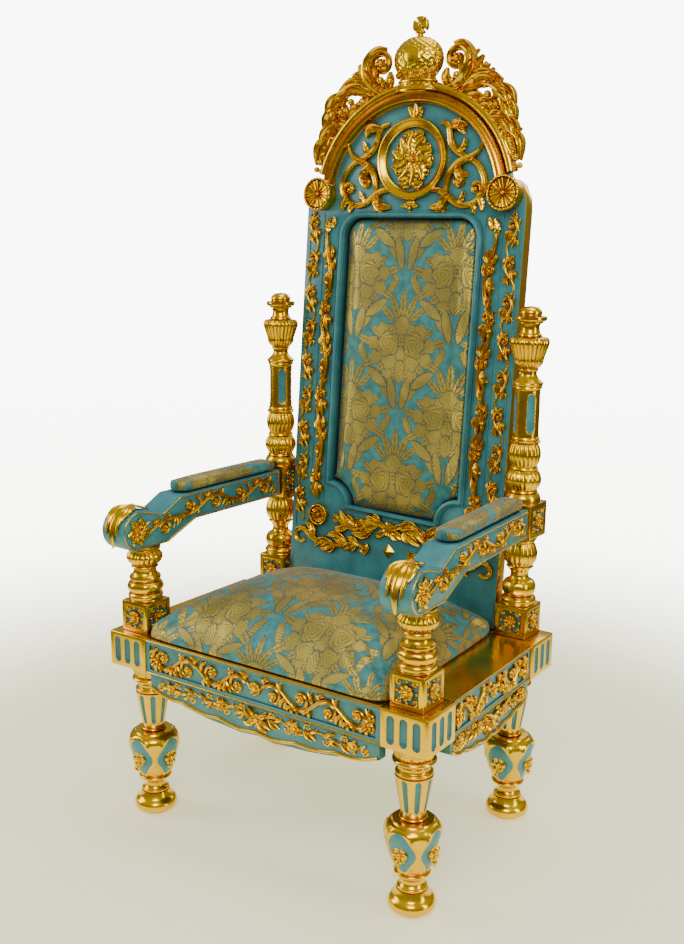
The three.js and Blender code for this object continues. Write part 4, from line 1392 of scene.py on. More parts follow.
def petalDisc(name, radius, proud, petals, rim=True):
    rows = [(0.01, proud - 2)] + sweepRows([(1, proud - 1), (3.6, proud - 2.4), (4.6, proud - 6)], 1.2)
    rows += straightRows((5.4, proud - 7), (radius - 7, proud - 4.5), 1.3)
    rows += straightRows((radius - 6.4, proud - 7), (radius - 4.6, proud - 6), 1.0)
    rows += [(radius - 4.2, proud - 1.5), (radius - 3, proud), (radius - 1.4, proud), (radius, proud - 1.6),
             (radius, proud - 8), (radius - 1.6, proud - 9.5), (radius - 1.6, 0), (0.01, 0)]
    disc = turned(name, rows, petals * 10)
    for v in disc.data.vertices:
        r, a = math.hypot(v.co.x, v.co.y), math.atan2(v.co.y, v.co.x)
        if v.co.z < proud - 9 or r < 4.8:
            continue
        wave = abs(math.cos(petals * a / 2))
        t = (r - 5) / (radius - 12)
        if t < 1.05:
            # each petal is a rounded spoon, widest near its end
            width = 0.30 + 0.62 * min(1, t) ** 0.8
            across = math.acos(min(1, wave)) / (math.pi / 2)
            inside = max(0.0, 1 - (across / width) ** 2)
            v.co.z += 2.0 - 4.6 * (1 - inside ** 0.5) - 1.6 * inside * (0.5 - abs(t - 0.5))
        elif r < radius - 4.4:
            v.co.z -= 4.0
        elif rim and r < radius - 1 and v.co.z > proud - 3:
            v.co.z += 0.8 * math.cos(2 * petals * a)
    faceOutwards(disc, 0.02)
    smooth(disc, 40)
    return disc


for hand, side in (("left", -1), ("right", 1)):
    rosette = petalDisc(f"carved_rosette_{hand}", 36.5, 31, 12)
    settle(rosette, Matrix.Translation((side * 236, 927, 0)))
    placeOnBack(rosette, f"rosette_{hand}")
    small = petalDisc(f"carved_small_rosette_{hand}", 25, 15, 14)
    settle(small, Matrix.Translation((side * 196, 187, 0)))
    placeOnBack(small, f"small_rosette_{hand}")

archBand = carvedRibbon(arcPoints(0, 908, 225.2, 1.5, 178.5, 110), [11.2], hollowSection, 15 / 11.2, 110)
innerLine = carvedRibbon(arcPoints(0, 908, 213, 0, 180, 100), [1.6], count=100)
archPiece = joined("carved_arch_moulding", [archBand, innerLine])
smooth(archPiece, 30)
placeOnBack(archPiece, "arch_moulding")

ring = turned("carved_medallion_ring", [(87, 0), (87, 8)] + sweepRows([(87, 8.5), (86, 12.5), (84, 14),
                                                                       (81.6, 12.8)], 1.2)
              + [(80.6, 10.2)] + straightRows((79.8, 9.8), (71, 4.6), 3)
              + [(70.5, 6.2), (69, 6.6), (67.8, 5.4), (67.5, 0), (87, 0)],
              144)
settle(ring, Matrix.Translation((0, 1002, 0)))
smooth(ring, 28)
placeOnBack(ring, "medallion_ring")


def makeMedallion():
    # a spray of leaves and curls round a flower
    leaves, solids = [], []
    solids.append(carvedBall(0, 2, 46, 7, -1, 40))
    for k in range(10):
        a = math.radians(90 + 36 * k)
        c, s = math.cos(a), math.sin(a)
        bend = 7
        leaves.append(carvedLeaf([(10 * c, 10 * s), (30 * c - bend * s, 30 * s + bend * c),
                                  (52 * c, 54 * s)], 12, 4, 9, 3, 6))
    for k in range(10):
        a = math.radians(72 + 36 * k)
        solids += carvedCurl(43 * math.cos(a), 44 * math.sin(a), 9, math.degrees(a) - 90, 1.3, 2.4,
                             tall=1.8)
    for k in range(14):
        a = math.radians(360 / 14 * k)
        solids.append(carvedBall(25 * math.cos(a), 25 * math.sin(a), 3, 3.4, 9, 10))
    solids.append(carvedFlower(0, 0, 21, 7, 13))
    solids.append(carvedBall(0, 0, 6, 5, 13, 14))
    for side in (1, -1):
        leaves.append(carvedLeaf([(0, -44), (side * 14, -54), (side * 30, -50)], 8, 4, 6, 2, 6))
        leaves.append(carvedLeaf([(0, 44), (side * 12, 54), (side * 26, 52)], 8, 4, 6, 2, 6))
    piece = carving("carved_medallion", leaves, solids, 3)
    settle(piece, Matrix.Translation((0, 1002, 0)))
    return piece


placeOnBack(makeMedallion(), "medallion")


def makeMedallionCrest():
    leaves, solids = [], []
    for angle in (-38, 0, 38):
        a = math.radians(90 - angle)
        tip = (27 * math.cos(a), 27 * math.sin(a))
        leaves.append(carvedLeaf([(tip[0] * 0.1, 0), (tip[0] * 0.6, tip[1] * 0.5), tip], 7, 3, 6, 2, 6))
    solids.append(carvedRibbon([(-15, 1), (0, -1), (15, 1)], [2.6], count=12))
    for side in (1, -1):
        solids.append(carvedBall(side * 13, 3, 3, 4, 0, 10))
    piece = carving("carved_medallion_crest", leaves, solids, 3)
    settle(piece, Matrix.Translation((0, 1090, 0)))
    return piece


placeOnBack(makeMedallionCrest(), "medallion_crest")


def makeSpandrel():
    # scrolls between the ring and the arch, on the right hand side
    leaves, solids = [], []
    top = [(66, 1078), (84, 1071), (91, 1052), (95, 1034), (110, 1017), (132, 1004), (152, 996),
           (169, 980), (181, 955),
           (179, 930), (168, 920)]
    solids.append(carvedRibbon(top, [4.5, 6.8, 7.4, 7.0, 6.0, 6.4, 6.6, 5.6], hollowSection, 1.1, 70))
    solids += carvedCurl(162, 938, 17, -70, 1.25, 5.6, hollowSection, 1.4)
    solids += carvedFan((88, 1070), [(112, 1084), (130, 1070), (126, 1052)], 6.5, 1.4)
    solids.append(carvedBall(118, 1064, 6, 7, 3, 12))
    inner = [(90, 932), (90, 950), (97, 972), (116, 991), (143, 1003), (162, 1016), (171, 1034)]
    solids.append(carvedRibbon(inner, [5.0, 7.0, 7.6, 8.0, 6.4, 5.0, 3.0], hollowSection, 1.3, 60))
    solids.append(carvedBall(172, 1037, 5.5, 6, 3, 12))
    solids += carvedFan((112, 990), [(140, 966), (131, 950), (116, 940)], 6.5, 1.4)
    solids += carvedCurl(117, 956, 15, 60, -1.2, 5.0, hollowSection, 1.4)
    leaves.append(carvedLeaf([(112, 1016), (124, 1026), (129, 1042)], 6, 3, 6, 3, 6))
    bottom = [(50, 937), (72, 935), (92, 925), (112, 910), (134, 903), (156, 908), (172, 921)]
    solids.append(carvedRibbon(bottom, [4.6, 6.8, 7.2, 6.6, 6.0, 5.6], hollowSection, 1.1, 60))
    leaves.append(carvedLeaf([(120, 909), (128, 920), (132, 933)], 5.5, 3, 6, 3, 6))
    leaves.append(carvedLeaf([(168, 920), (176, 908), (180, 893)], 7, 3, 6, 3, 6))
    solids += carvedFan((96, 930), [(88, 886), (70, 886), (50, 898)], 6.5, 1.3)
    leaves.append(carvedLeaf([(150, 905), (160, 896), (158, 888)], 5, 3, 5, 2, 6))
    return carving("spandrel", leaves, solids, 3)


spandrelMaster = makeSpandrel()
placeOnBack(mirrored(spandrelMaster, "carved_spandrel_scroll_left"), "spandrel_scroll_left")
placeOnBack(ownCopy(spandrelMaster, "carved_spandrel_scroll_right"), "spandrel_scroll_right")
bpy.data.objects.remove(spandrelMaster)
drop = carving("carved_bead_drop", [carvedLeaf([(s * 3, 914), (s * 10, 904), (s * 22, 902)], 5, 3, 5, 2,
                                               6) for s in (1, -1)],
               [carvedBall(0, 897, 5, 6, 2, 12), carvedBall(0, 908, 7, 7, 2, 12),
                carvedBall(0, 890, 3, 4, 1, 10)], 2)
placeOnBack(drop)
print("arch and medallion carved")


stripValues = {"unit": 79.5, "x": 254, "low": 164, "count": 9, "vineX": 208.5, "vineLow": 246,
               "vinePitch": 197}


def makeStripUnit():
    # one unit of the outer strip: a bowed stem that rolls into a curl, with a fan of leaf under it
    unit = stripValues["unit"]
    solids = [carvedRibbon([(-8, 0), (-11, unit * 0.14), (-8, unit * 0.32), (4, unit * 0.50),
                            (11, unit * 0.68),
                            (8, unit * 0.86), (-1, unit * 0.97), (-8, unit)],
                           [2.0, 2.6, 3.2, 3.8, 3.8, 3.2, 2.2], tall=1.5, count=40)]
    solids += carvedCurl(0, unit * 0.78, 12.5, -30, 1.35, 3.6, hollowSection, 1.6)
    solids += carvedFan((-3, unit * 0.64), [(-15, unit * 0.44), (-9, unit * 0.28), (1, unit * 0.22)], 3.0)
    solids += carvedCurl(10, unit * 0.34, 5.5, 150, -1.2, 2.3, tall=2.0)
    solids += carvedFan((9, unit * 0.80), [(15, unit * 0.96), (8, unit * 1.04)], 2.2)
    return lighten(joined("unit", solids), 0.5)


def makeVineUnit():
    # one full wave of the inner strip: a broad stem, with a curl and a long fan of leaf in each bend
    pitch = stripValues["vinePitch"]
    wave = [(9 * math.cos(2 * math.pi * i / 24), pitch * i / 24) for i in range(25)]
    solids = [carvedRibbon(wave, [3.4, 4.2, 5.0, 4.2, 3.4], hollowSection, 1.5, 60)]
    for k, s in ((0, 1), (1, -1)):
        y = pitch * (0.10 + 0.5 * k)
        solids += carvedCurl(s * 1.0, y + 10, 13, 0 if s > 0 else 180, 1.3 * s, 3.8, hollowSection, 1.6)
        solids += carvedFan((s * 1, y - 4), [(-s * 13, y - 26), (-s * 5, y - 42), (s * 6, y - 36)], 3.8)
        solids += carvedFan((s * 4, y + 24), [(-s * 13, y + 44), (-s * 6, y + 60), (s * 6, y + 54)], 3.6)
        solids += carvedFan((s * 9, y - 6), [(s * 17, y + 8), (s * 16, y + 26)], 2.4)
    return lighten(joined("vine", solids), 0.55)


def makeStrips():
    # repeats the units, then mirrors both strips
    look = stripValues
    unit = makeStripUnit()
    copies = []
    for i in range(look["count"]):
        twin = ownCopy(unit) if i % 2 == 0 else mirrored(unit, "unit")
        copies.append(settle(twin, Matrix.Translation((look["x"], look["low"] + i * look["unit"], 0))))
    start = joined("curl", carvedCurl(look["x"] + 1, look["low"] + look["count"] * look["unit"] + 6, 6,
                                      -90, 1.2, 2, tall=2))
    strip = joined("carved_scroll_strip_right", copies + [start])
    vine = makeVineUnit()
    copies = []
    for i in range(3):
        copies.append(settle(ownCopy(vine), Matrix.Translation((look["vineX"], look["vineLow"]
                                                                + i * look["vinePitch"], 0))))
    y = look["vineLow"] + 3 * look["vinePitch"]
    tail = carvedRibbon([(9, y), (6, y + 14), (-2, y + 28), (-7, y + 40)], [2.6, 2.4, 1.6], tall=2,
                        count=16)
    flora = backed([carvedLeaf([(6, y + 4), (10, y + 20), (4, y + 38)], 7, 4, 7, 2),
                    carvedLeaf([(0, y + 18), (-8, y + 26), (-9, y + 40)], 5, 3, 6, 2, 6)], 2)
    for part in (tail, flora):
        for v in part.data.vertices:
            v.co.x += look["vineX"]
    band = joined("carved_vine_strip_right", copies + [tail, flora])
    bpy.data.objects.remove(unit)
    bpy.data.objects.remove(vine)
    for piece, node in ((strip, "scroll_strip"), (band, "vine_strip")):
        other = mirrored(piece, f"carved_{node}_left")
        placeOnBack(other, f"{node}_left")
        placeOnBack(piece, f"{node}_right")


makeStrips()
print("side strips carved")


def makeSwag():
    # two sprays of leaf that meet at a flower
    solids = []
    for s in (1, -1):
        stem = [(s * 6, 180), (s * 34, 192), (s * 62, 186), (s * 92, 168), (s * 124, 174), (s * 152, 192)]
        solids.append(carvedRibbon(stem, [5.4, 6.4, 6.4, 5.4, 4.4, 3.4], hollowSection, 1.2, 50))
        solids += carvedFan((s * 26, 188), [(s * 50, 206), (s * 66, 202), (s * 78, 192)], 6.0, 1.3)
        solids += carvedFan((s * 40, 182), [(s * 62, 162), (s * 82, 156), (s * 100, 158)], 6.0, 1.3)
        solids += carvedFan((s * 96, 176), [(s * 122, 194), (s * 138, 204)], 5.4, 1.3)
        solids += carvedFan((s * 112, 170), [(s * 134, 156), (s * 152, 162)], 5.4, 1.3)
        solids += carvedFan((s * 10, 176), [(s * 22, 158), (s * 38, 160)], 4.8, 1.3)
        solids += carvedCurl(s * 84, 184, 11, 250 if s > 0 else -70, 1.3 * s, 3.6, hollowSection, 1.6)
        solids += carvedCurl(s * 150, 182, 9, 60 if s > 0 else 120, 1.3 * s, 3.4, hollowSection, 1.6)
    solids.append(carvedFlower(0, 180, 18, 9, 10))
    return joined("carved_flower_swag", solids)


def makeCornerScroll():
    # the lower corner ornament of the back, right hand side
    solids = [carvedRibbon([(56, 126), (84, 132), (116, 127), (150, 121), (186, 122), (218, 130),
                            (240, 146),
                            (258, 140), (262, 124), (250, 114), (236, 119)],
                           [3.4, 4.6, 5.2, 5.8, 6.0, 5.6, 5.4, 5.0, 4.4, 3.4], hollowSection, 1.3, 84)]
    solids += carvedCurl(66, 124, 13, 120, 1.3, 3.8, hollowSection, 1.6)
    solids += carvedFan((112, 128), [(136, 142), (154, 144), (172, 140)], 5.4, 1.3)
    solids += carvedFan((150, 121), [(172, 106), (190, 104), (208, 108)], 5.4, 1.3)
    solids += carvedFan((206, 128), [(206, 150), (218, 160), (236, 162)], 5.4, 1.3)
    solids += carvedFan((80, 132), [(96, 144), (114, 144)], 4.6, 1.3)
    solids += carvedFan((90, 128), [(106, 114), (124, 112)], 4.6, 1.3)
    solids += carvedCurl(226, 138, 9, 200, -1.2, 3.0, tall=1.8)
    return joined("cornerScroll", solids)


placeOnBack(makeSwag(), "flower_swag")
cornerMaster = makeCornerScroll()
placeOnBack(mirrored(cornerMaster, "carved_corner_scroll_left"), "corner_scroll_left")
placeOnBack(ownCopy(cornerMaster, "carved_corner_scroll_right"), "corner_scroll_right")
bpy.data.objects.remove(cornerMaster)
clearSelection()
bpy.ops.mesh.primitive_cone_add(vertices=4, radius1=18, radius2=0, depth=9, location=(0, 129, 4.2))
stud = bpy.context.object
stud.name = "carved_diamond_stud"
settle(stud)
bake(stud, "BEVEL", width=1.2, segments=2, limit_method="ANGLE")
placeOnBack(stud, "diamond_stud")
print("lower back carved")


def makeCrestSide():
    # the right hand half of the crest: two big scrolls with acanthus, falling leaves and berries
    leaves, solids = [], []
    solids.append(carvedRibbon([(72, 1144), (98, 1152), (120, 1170), (130, 1196), (124, 1220), (106, 1236),
                                (84, 1236)],
                               [6, 9, 12, 13, 12, 10, 6], hollowSection, 1.3, 60))
    solids += carvedCurl(95, 1206, 26, 40, 1.5, 7.0, hollowSection, 1.6)
    solids.append(carvedFlower(95, 1206, 13, 6, 14))
    solids.append(carvedBall(96, 1172, 9, 10, 4, 14))
    solids.append(carvedBall(86, 1162, 7, 8, 4, 12))
    solids += carvedFan((112, 1152), [(164, 1196), (157, 1210), (146, 1222)], 7, 1.2)
    solids += carvedFan((118, 1150), [(184, 1182), (174, 1190)], 6.5, 1.2)
    solids += carvedFan((76, 1148), [(66, 1180), (72, 1190)], 6, 1.4)
    solids += carvedFan((116, 1148), [(158, 1176), (184, 1172), (206, 1156)], 9, 1.1)
    solids.append(carvedRibbon([(112, 1144), (146, 1158), (178, 1155), (202, 1138), (214, 1114),
                                (212, 1092), (198, 1082)],
                               [7, 10, 12, 12, 11, 9, 6], hollowSection, 1.3, 60))
    solids += carvedCurl(196, 1108, 24, -60, 1.5, 6.0, hollowSection, 1.7)
    solids.append(carvedFlower(196, 1108, 11, 6, 13))
    solids.append(carvedBall(172, 1130, 8, 10, 3, 14))
    solids.append(carvedBall(160, 1120, 6, 8, 3, 12))
    solids += carvedFan((184, 1150), [(226, 1132), (236, 1112), (236, 1090)], 9, 1.1)
    solids += carvedFan((212, 1120), [(242, 1086), (240, 1068)], 9, 1.1)
    solids += carvedFan((150, 1146), [(190, 1172), (200, 1164)], 6, 1.2)
    solids += carvedFan((206, 1090), [(258, 1056), (254, 1040), (246, 1022)], 7, 1.2)
    solids += carvedFan((222, 1062), [(240, 1010), (249, 998), (260, 994)], 6.5, 1.2)
    solids.append(carvedBall(248, 1000, 8, 9, 3, 14))
    solids.append(carvedBall(258, 984, 6.5, 8, 2, 12))
    solids.append(carvedBall(246, 980, 5.5, 7, 2, 12))
    for t in range(6):
        a = math.radians(26 + 8.5 * t)
        x, y = 247 * math.cos(a), 908 + 247 * math.sin(a)
        tips = [(x + 30 * math.cos(a - turn), y + 30 * math.sin(a - turn)) for turn in (1.1, 0.65, 0.2)]
        solids += carvedFan((x, y), tips, 5.4, 1.3)
    ground = flatBoard("crestGround", [arcPoints(0, 908, 274, 24, 62, 40)
                                       + arcPoints(0, 908, 250, 62, 24, 40)], 10, 2)
    solids.append(ground)
    return lighten(carving("crestSide", leaves, solids, 9), 0.6)


def makeCrown():
    # an orb with a lattice, an oval jewel, a scrolled collar and a cross with flared arms
    parts = []
    clearSelection()
    bpy.ops.mesh.primitive_uv_sphere_add(segments=144, ring_count=72, radius=1,
                                         rotation=(math.pi / 2, 0, 0))
    orb = settle(bpy.context.object)
    for v in orb.data.vertices:
        # z is out of the ground; the poles lie above and below
        around = math.atan2(v.co.x, v.co.z)
        lift = math.asin(max(-1, min(1, v.co.y)))
        net = max(abs(math.sin(9 * (around + lift * 1.3))), abs(math.sin(9 * (around - lift * 1.3)))) ** 9
        fade = 1 if abs(lift) < 1.25 else 0
        jewel = math.hypot(around * 2.7, (lift - 0.05) * 2.2)
        grow = 1 + 0.040 * net * fade
        if jewel < 1.0 and v.co.z > 0:
            grow = 1.0 + (0.055 if jewel > 0.78 else 0.05 * math.sqrt(max(0, 1 - (jewel / 0.8) ** 2)))
        v.co = (v.co.x * 57 * grow, 1210 + v.co.y * 47 * grow, 4 + v.co.z * 36 * grow)
    smooth(orb, 60)
    parts.append(orb)
    collar = turned("collar", [(0.02, 0), (51, 0)] + bead(0, 6, 53, 50, 5)
                    + sweepRows([(49, 7), (46, 12), (47, 18)], 1.5)
                    + bead(19, 25, 49, 46, 5) + sweepRows([(45, 26), (43, 32), (40, 38)], 2)
                    + [(0.02, 38)], 96)
    collar.data.attributes.remove(collar.data.attributes["paint"])
    for v in collar.data.vertices:
        v.co.y *= 0.50
    settle(collar, Matrix.Translation((0, 1142, 2)) @ Matrix.Rotation(-math.pi / 2, 4, "X"))
    smooth(collar, 35)
    parts.append(collar)
    for s in (1, -1):
        for x in (11, 30, 44):
            curls = carvedCurl(s * x, 1180 - x * 0.1, 9, 210 if s > 0 else -30, -1.3 * s, 2.6,
                               hollowSection, 2.2)
            for part in curls:
                for v in part.data.vertices:
                    v.co.z += 31 - x * x * 0.011
            parts += curls
    for k in range(9):
        a = math.radians(20 + 17.5 * k)
        parts.append(carvedBall(-47 * math.cos(a), 1157, 2.8, 2.8, 3 + 23 * math.sin(a), 10))
    stem = turned("stem", [(0.02, 0), (11, 0), (12, 3), (8, 6), (6, 10), (8.5, 14), (5, 18), (4.2, 26),
                           (0.02, 26)], 32)
    stem.data.attributes.remove(stem.data.attributes["paint"])
    settle(stem, Matrix.Translation((0, 1252, 4)) @ Matrix.Rotation(-math.pi / 2, 4, "X"))
    parts.append(stem)
    for k in range(4):
        a = math.radians(90 * k)
        arm = flatBoard("arm", [[(-4, 1), (4, 1), (6, 8), (11.5, 15), (8, 17.6), (0, 18.6), (-8, 17.6),
                                 (-11.5, 15),
                                 (-6, 8)]], 12, 1.8)
        for v in arm.data.vertices:
            v.co.z += 6
        settle(arm, Matrix.Translation((0, 1281, 4)) @ Matrix.Rotation(a, 4, "Z"))
        parts.append(arm)
    parts.append(carvedBall(0, 1281, 5, 7, 6, 14))
    return parts


def makeCrest():
    # both halves, the band that follows the arch, and the crown
    side = makeCrestSide()
    other = mirrored(side, "crestLeft")
    band = carvedRibbon(arcPoints(0, 908, 247.5, 15, 165, 90), [10.5], None, 1.0, 90)
    back = flatBoard("crestBack", [arcPoints(0, 908, 258, 15, 165, 60)
                                   + arcPoints(0, 908, 238.5, 165, 15, 60)], 14, 2)
    crown = makeCrown()
    crest = joined("carved_crest", [side, other, band, back] + crown)
    return crest


placeOnBack(makeCrest(), "crest")
print("crest carved")


armValues = {
    "width": 64, "underside": 617, "beam": 652, "top": 712.5, "rear": 192,
    "noseY": -262, "noseZ": 659, "noseLong": 44, "noseTall": 43,
    "splay": 0.0436,  # the arms spread a little towards the front
    "line": 1.5, "lineInset": 4.5,
}


def armOutline(inset=0.0):
    look = armValues
    low, top, i = look["underside"] + inset, look["top"] - inset, inset
    nose = arcPoints(0, 0, 1, 270, 72, 30)
    nose = [(look["noseY"] + (look["noseLong"] - i) * x, look["noseZ"] + (look["noseTall"] - i) * y) for x,
            y in nose]
    nose[0] = (look["noseY"] + 6, low)
    return ([(look["rear"] - i, look["beam"] + i), (-91 - i * 0.2, look["beam"] + i),
             (-176 - i * 0.2, low)] + nose
            + [(-232, 697 - i), (-214, 690 - i), (-197 + i * 0.3, 685.5 - i), (-190 + i * 0.4, 687 - i),
               (-140 + i * 0.4, top), (look["rear"] - i, top)])


def bendAlong(piece, path):
    # lays a straight carving along a path: x runs along it, y stands off to its left
    runs = [0.0]
    for a, b in zip(path, path[1:]):
        runs.append(runs[-1] + (b - a).length)
    for v in piece.data.vertices:
        want = max(0.0, min(runs[-1] - 0.001, v.co.x))
        k = 0
        while k < len(runs) - 2 and runs[k + 1] < want:
            k += 1
        t = (want - runs[k]) / (runs[k + 1] - runs[k])
        here = path[k].lerp(path[k + 1], t)
        before, after = path[max(0, k - 1)], path[min(len(path) - 1, k + 2)]
        ahead = (after - before).normalized()
        spare = v.co.x - want
        v.co = (here.x + ahead.x * spare - ahead.y * v.co.y, here.y + ahead.y * spare + ahead.x * v.co.y,
                v.co.z)


def makeArmVine():
    # the running vine of one side face, from the flower on the nose to the rear post
    path = smoothPath([(-258, 656), (-222, 652), (-182, 657), (-146, 674), (-104, 683), (-40, 683),
                       (60, 683), (176, 683)], 60)
    length = sum((b - a).length for a, b in zip(path, path[1:]))
    vine = lighten(joined("vine", rinceau(length - 34, 22, 5, 2.8)), 0.45)
    for v in vine.data.vertices:
        v.co.x += 26
    bendAlong(vine, path)
    parts = [vine, carvedFlower(-262, 658, 24, 7, 8, 0.5), carvedFlower(-262, 658, 14, 5, 12, 0.5)]
    parts += [carvedBall(-262, 658, 4.5, 5, 10, 12)]
    flora = []
    for k in range(7):
        a = math.radians(25 + 360 / 7 * k)
        flora.append(carvedLeaf([(-262 + 10 * math.cos(a), 658 + 10 * math.sin(a)),
                                 (-262 + 22 * math.cos(a), 658 + 22 * math.sin(a)),
                                 (-262 + 31 * math.cos(a + 0.15), 658 + 31 * math.sin(a + 0.15))], 6, 3, 5,
                                1.5, 6))
    return joined("armVine", parts + [backed(flora, 2)])


def makeNoseLeaf():
    # one leaf lies back up the slope, and a fan of long fingers hangs over the nose
    over = smoothPath([(-150, 705), (-190, 688), (-200, 686), (-232, 698), (-262, 703), (-290, 692),
                       (-305, 664), (-304, 636),
                       (-296, 622)], 80)
    over = [Vector((p.x, p.y)) for p in over]
    runs = sum((b - a).length for a, b in zip(over, over[1:]))
    leaves, solids = [], []
    root = runs * 0.50
    for tip, spread, width in ((-52, 0, 8), (-30, 15, 5.5), (-30, -15, 5.5)):
        leaves.append(carvedLeaf([(root, 0), (root + tip * 0.5, spread * 0.7), (root + tip, spread)],
                                 width, 1, 5, 1, 8))
    for reach, spread, width in ((runs * 0.46, 0, 8.5), (runs * 0.33, 14, 5.2), (runs * 0.33, -14, 5.2),
                                 (runs * 0.20, 22, 4.6), (runs * 0.20, -22, 4.6)):
        leaves.append(carvedLeaf([(root - 4, spread * 0.2), (root + reach * 0.40, spread * 1.05),
                                  (root + reach, spread)], width, 1, 6, 1, 8))
    for k in range(3):
        solids.append(carvedBall(root - 6 + 5 * k, 0, 4.2 - k * 0.6, 6, 4, 12))
    leaf = carving("noseLeaf", leaves, solids, 2.5)
    for v in leaf.data.vertices:
        want = max(0.0, min(0.9999, v.co.x / runs)) * 80
        k = int(want)
        here = over[k].lerp(over[k + 1], want - k)
        ahead = (over[min(80, k + 2)] - over[max(0, k - 1)]).normalized()
        out = Vector((ahead.y, -ahead.x))
        v.co = (here.x + out.x * v.co.z, here.y + out.y * v.co.z, v.co.y)
    faceOutwards(leaf, 0.001)
    smooth(leaf, 50)
    return leaf


def makeArm(hand, side, vineMaster, leafMaster):
    look = armValues
    low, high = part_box(f"arm_{hand}")
    center = (low + high) / 2
    upright = Matrix(((0, 0, 1, 0), (1, 0, 0, 0), (0, 1, 0, 0), (0, 0, 0, 1)))
    middleY = (look["rear"] + look["noseY"] - look["noseLong"]) / 2
    place = (Matrix.Translation((center.x, center.y, 0)) @ Matrix.Rotation(side * look["splay"], 4, "Z")
             @ Matrix.Scale(mm, 4) @ upright @ Matrix.Translation((-middleY, 0, 0)))
    outline = [p for p in armOutline()]
    board = flatBoard("board", [outline], look["width"], 2.0)
    for v in board.data.vertices:
        v.co.z += look["width"] / 2
    smooth(board, 35)
    settle(board, place)
    board.name = f"carved_arm_{hand}"
    finishPiece(board, [tealPaint], "teal_paint", f"arm_{hand}")
    parts = []
    line = [Vector(p) for p in armOutline(look["lineInset"])]
    for face in (1, -1):
        trim = carvedRibbon([tuple(p) for p in line] + [tuple(line[0])], [look["line"]], tall=1.2,
                            count=170, closed=True)
        vine = ownCopy(vineMaster)
        for piece in (trim, vine):
            for v in piece.data.vertices:
                v.co.z = face * (v.co.z + look["width"] / 2 - 0.6)
            if face < 0:
                piece.data.flip_normals()
            parts.append(piece)
    ornament = joined(f"arm_carving_{hand}", parts)
    smooth(ornament, 50)
    settle(ornament, place)
    finishPiece(ornament, [gilding], "gilding")
    leaf = settle(ownCopy(leafMaster, f"carved_arm_leaf_{hand}"), place)
    finishPiece(leaf, [gilding], "gilding", f"arm_leaf_{hand}")


vineMaster, leafMaster = makeArmVine(), makeNoseLeaf()
for hand, side in (("left", -1), ("right", 1)):
    makeArm(hand, side, vineMaster, leafMaster)
for master in (vineMaster, leafMaster):
    bpy.data.objects.remove(master)
print("arms carved")


def plump(piece, voxel, cap, pressure=4.0, pinned=None):
    # swells a shape as stuffing does, then keeps every point within the cap
    bake(piece, "REMESH", mode="VOXEL", voxel_size=voxel)
    start = [v.co.copy() for v in piece.data.vertices]
    held = piece.vertex_groups.new(name="held")
    if pinned:
        held.add([v.index for v in piece.data.vertices if pinned(v.co)], 1.0, "REPLACE")
    cloth = piece.modifiers.new("Cloth", "CLOTH")
    settings = cloth.settings
    settings.quality = 4
    settings.use_pressure = True
    settings.uniform_pressure_force = pressure
    settings.effector_weights.gravity = 0
    settings.tension_stiffness = settings.compression_stiffness = 12
    settings.bending_stiffness = 0.4
    if pinned:
        settings.vertex_group_mass = "held"
    cloth.point_cache.frame_start, cloth.point_cache.frame_end = 1, 20
    for step in range(1, 21):
        bpy.context.scene.frame_set(step)
    view = bpy.context.evaluated_depsgraph_get()
    swollen = [v.co.copy() for v in piece.evaluated_get(view).data.vertices]
    piece.modifiers.remove(cloth)
    piece.vertex_groups.clear()
    bpy.context.scene.frame_set(1)
    for v, was, now in zip(piece.data.vertices, start, swollen):
        move = now - was
        v.co = was + move * min(1.0, cap / max(move.length, 1e-9))
    bake(piece, "SMOOTH", iterations=3, factor=0.5)


def chart(piece, toCloth):
    # the woven pattern's own map, in metres of cloth
    layer = piece.data.uv_layers.get("cloth") or piece.data.uv_layers.new(name="cloth")
    spots = [toCloth(v.co, v.normal) for v in piece.data.vertices]
    for loop in piece.data.loops:
        layer.data[loop.index].uv = spots[loop.vertex_index]


cushionValues = {
    "swell": 0.005,  # room left for the stuffing to swell
    "edge": 0.024, "wider": 0.018, "deeper": 0.016, "ahead": 0.007, "voxel": 0.0068, "cap": 0.020,
                 "pattern": (0.0, 0.075),
}


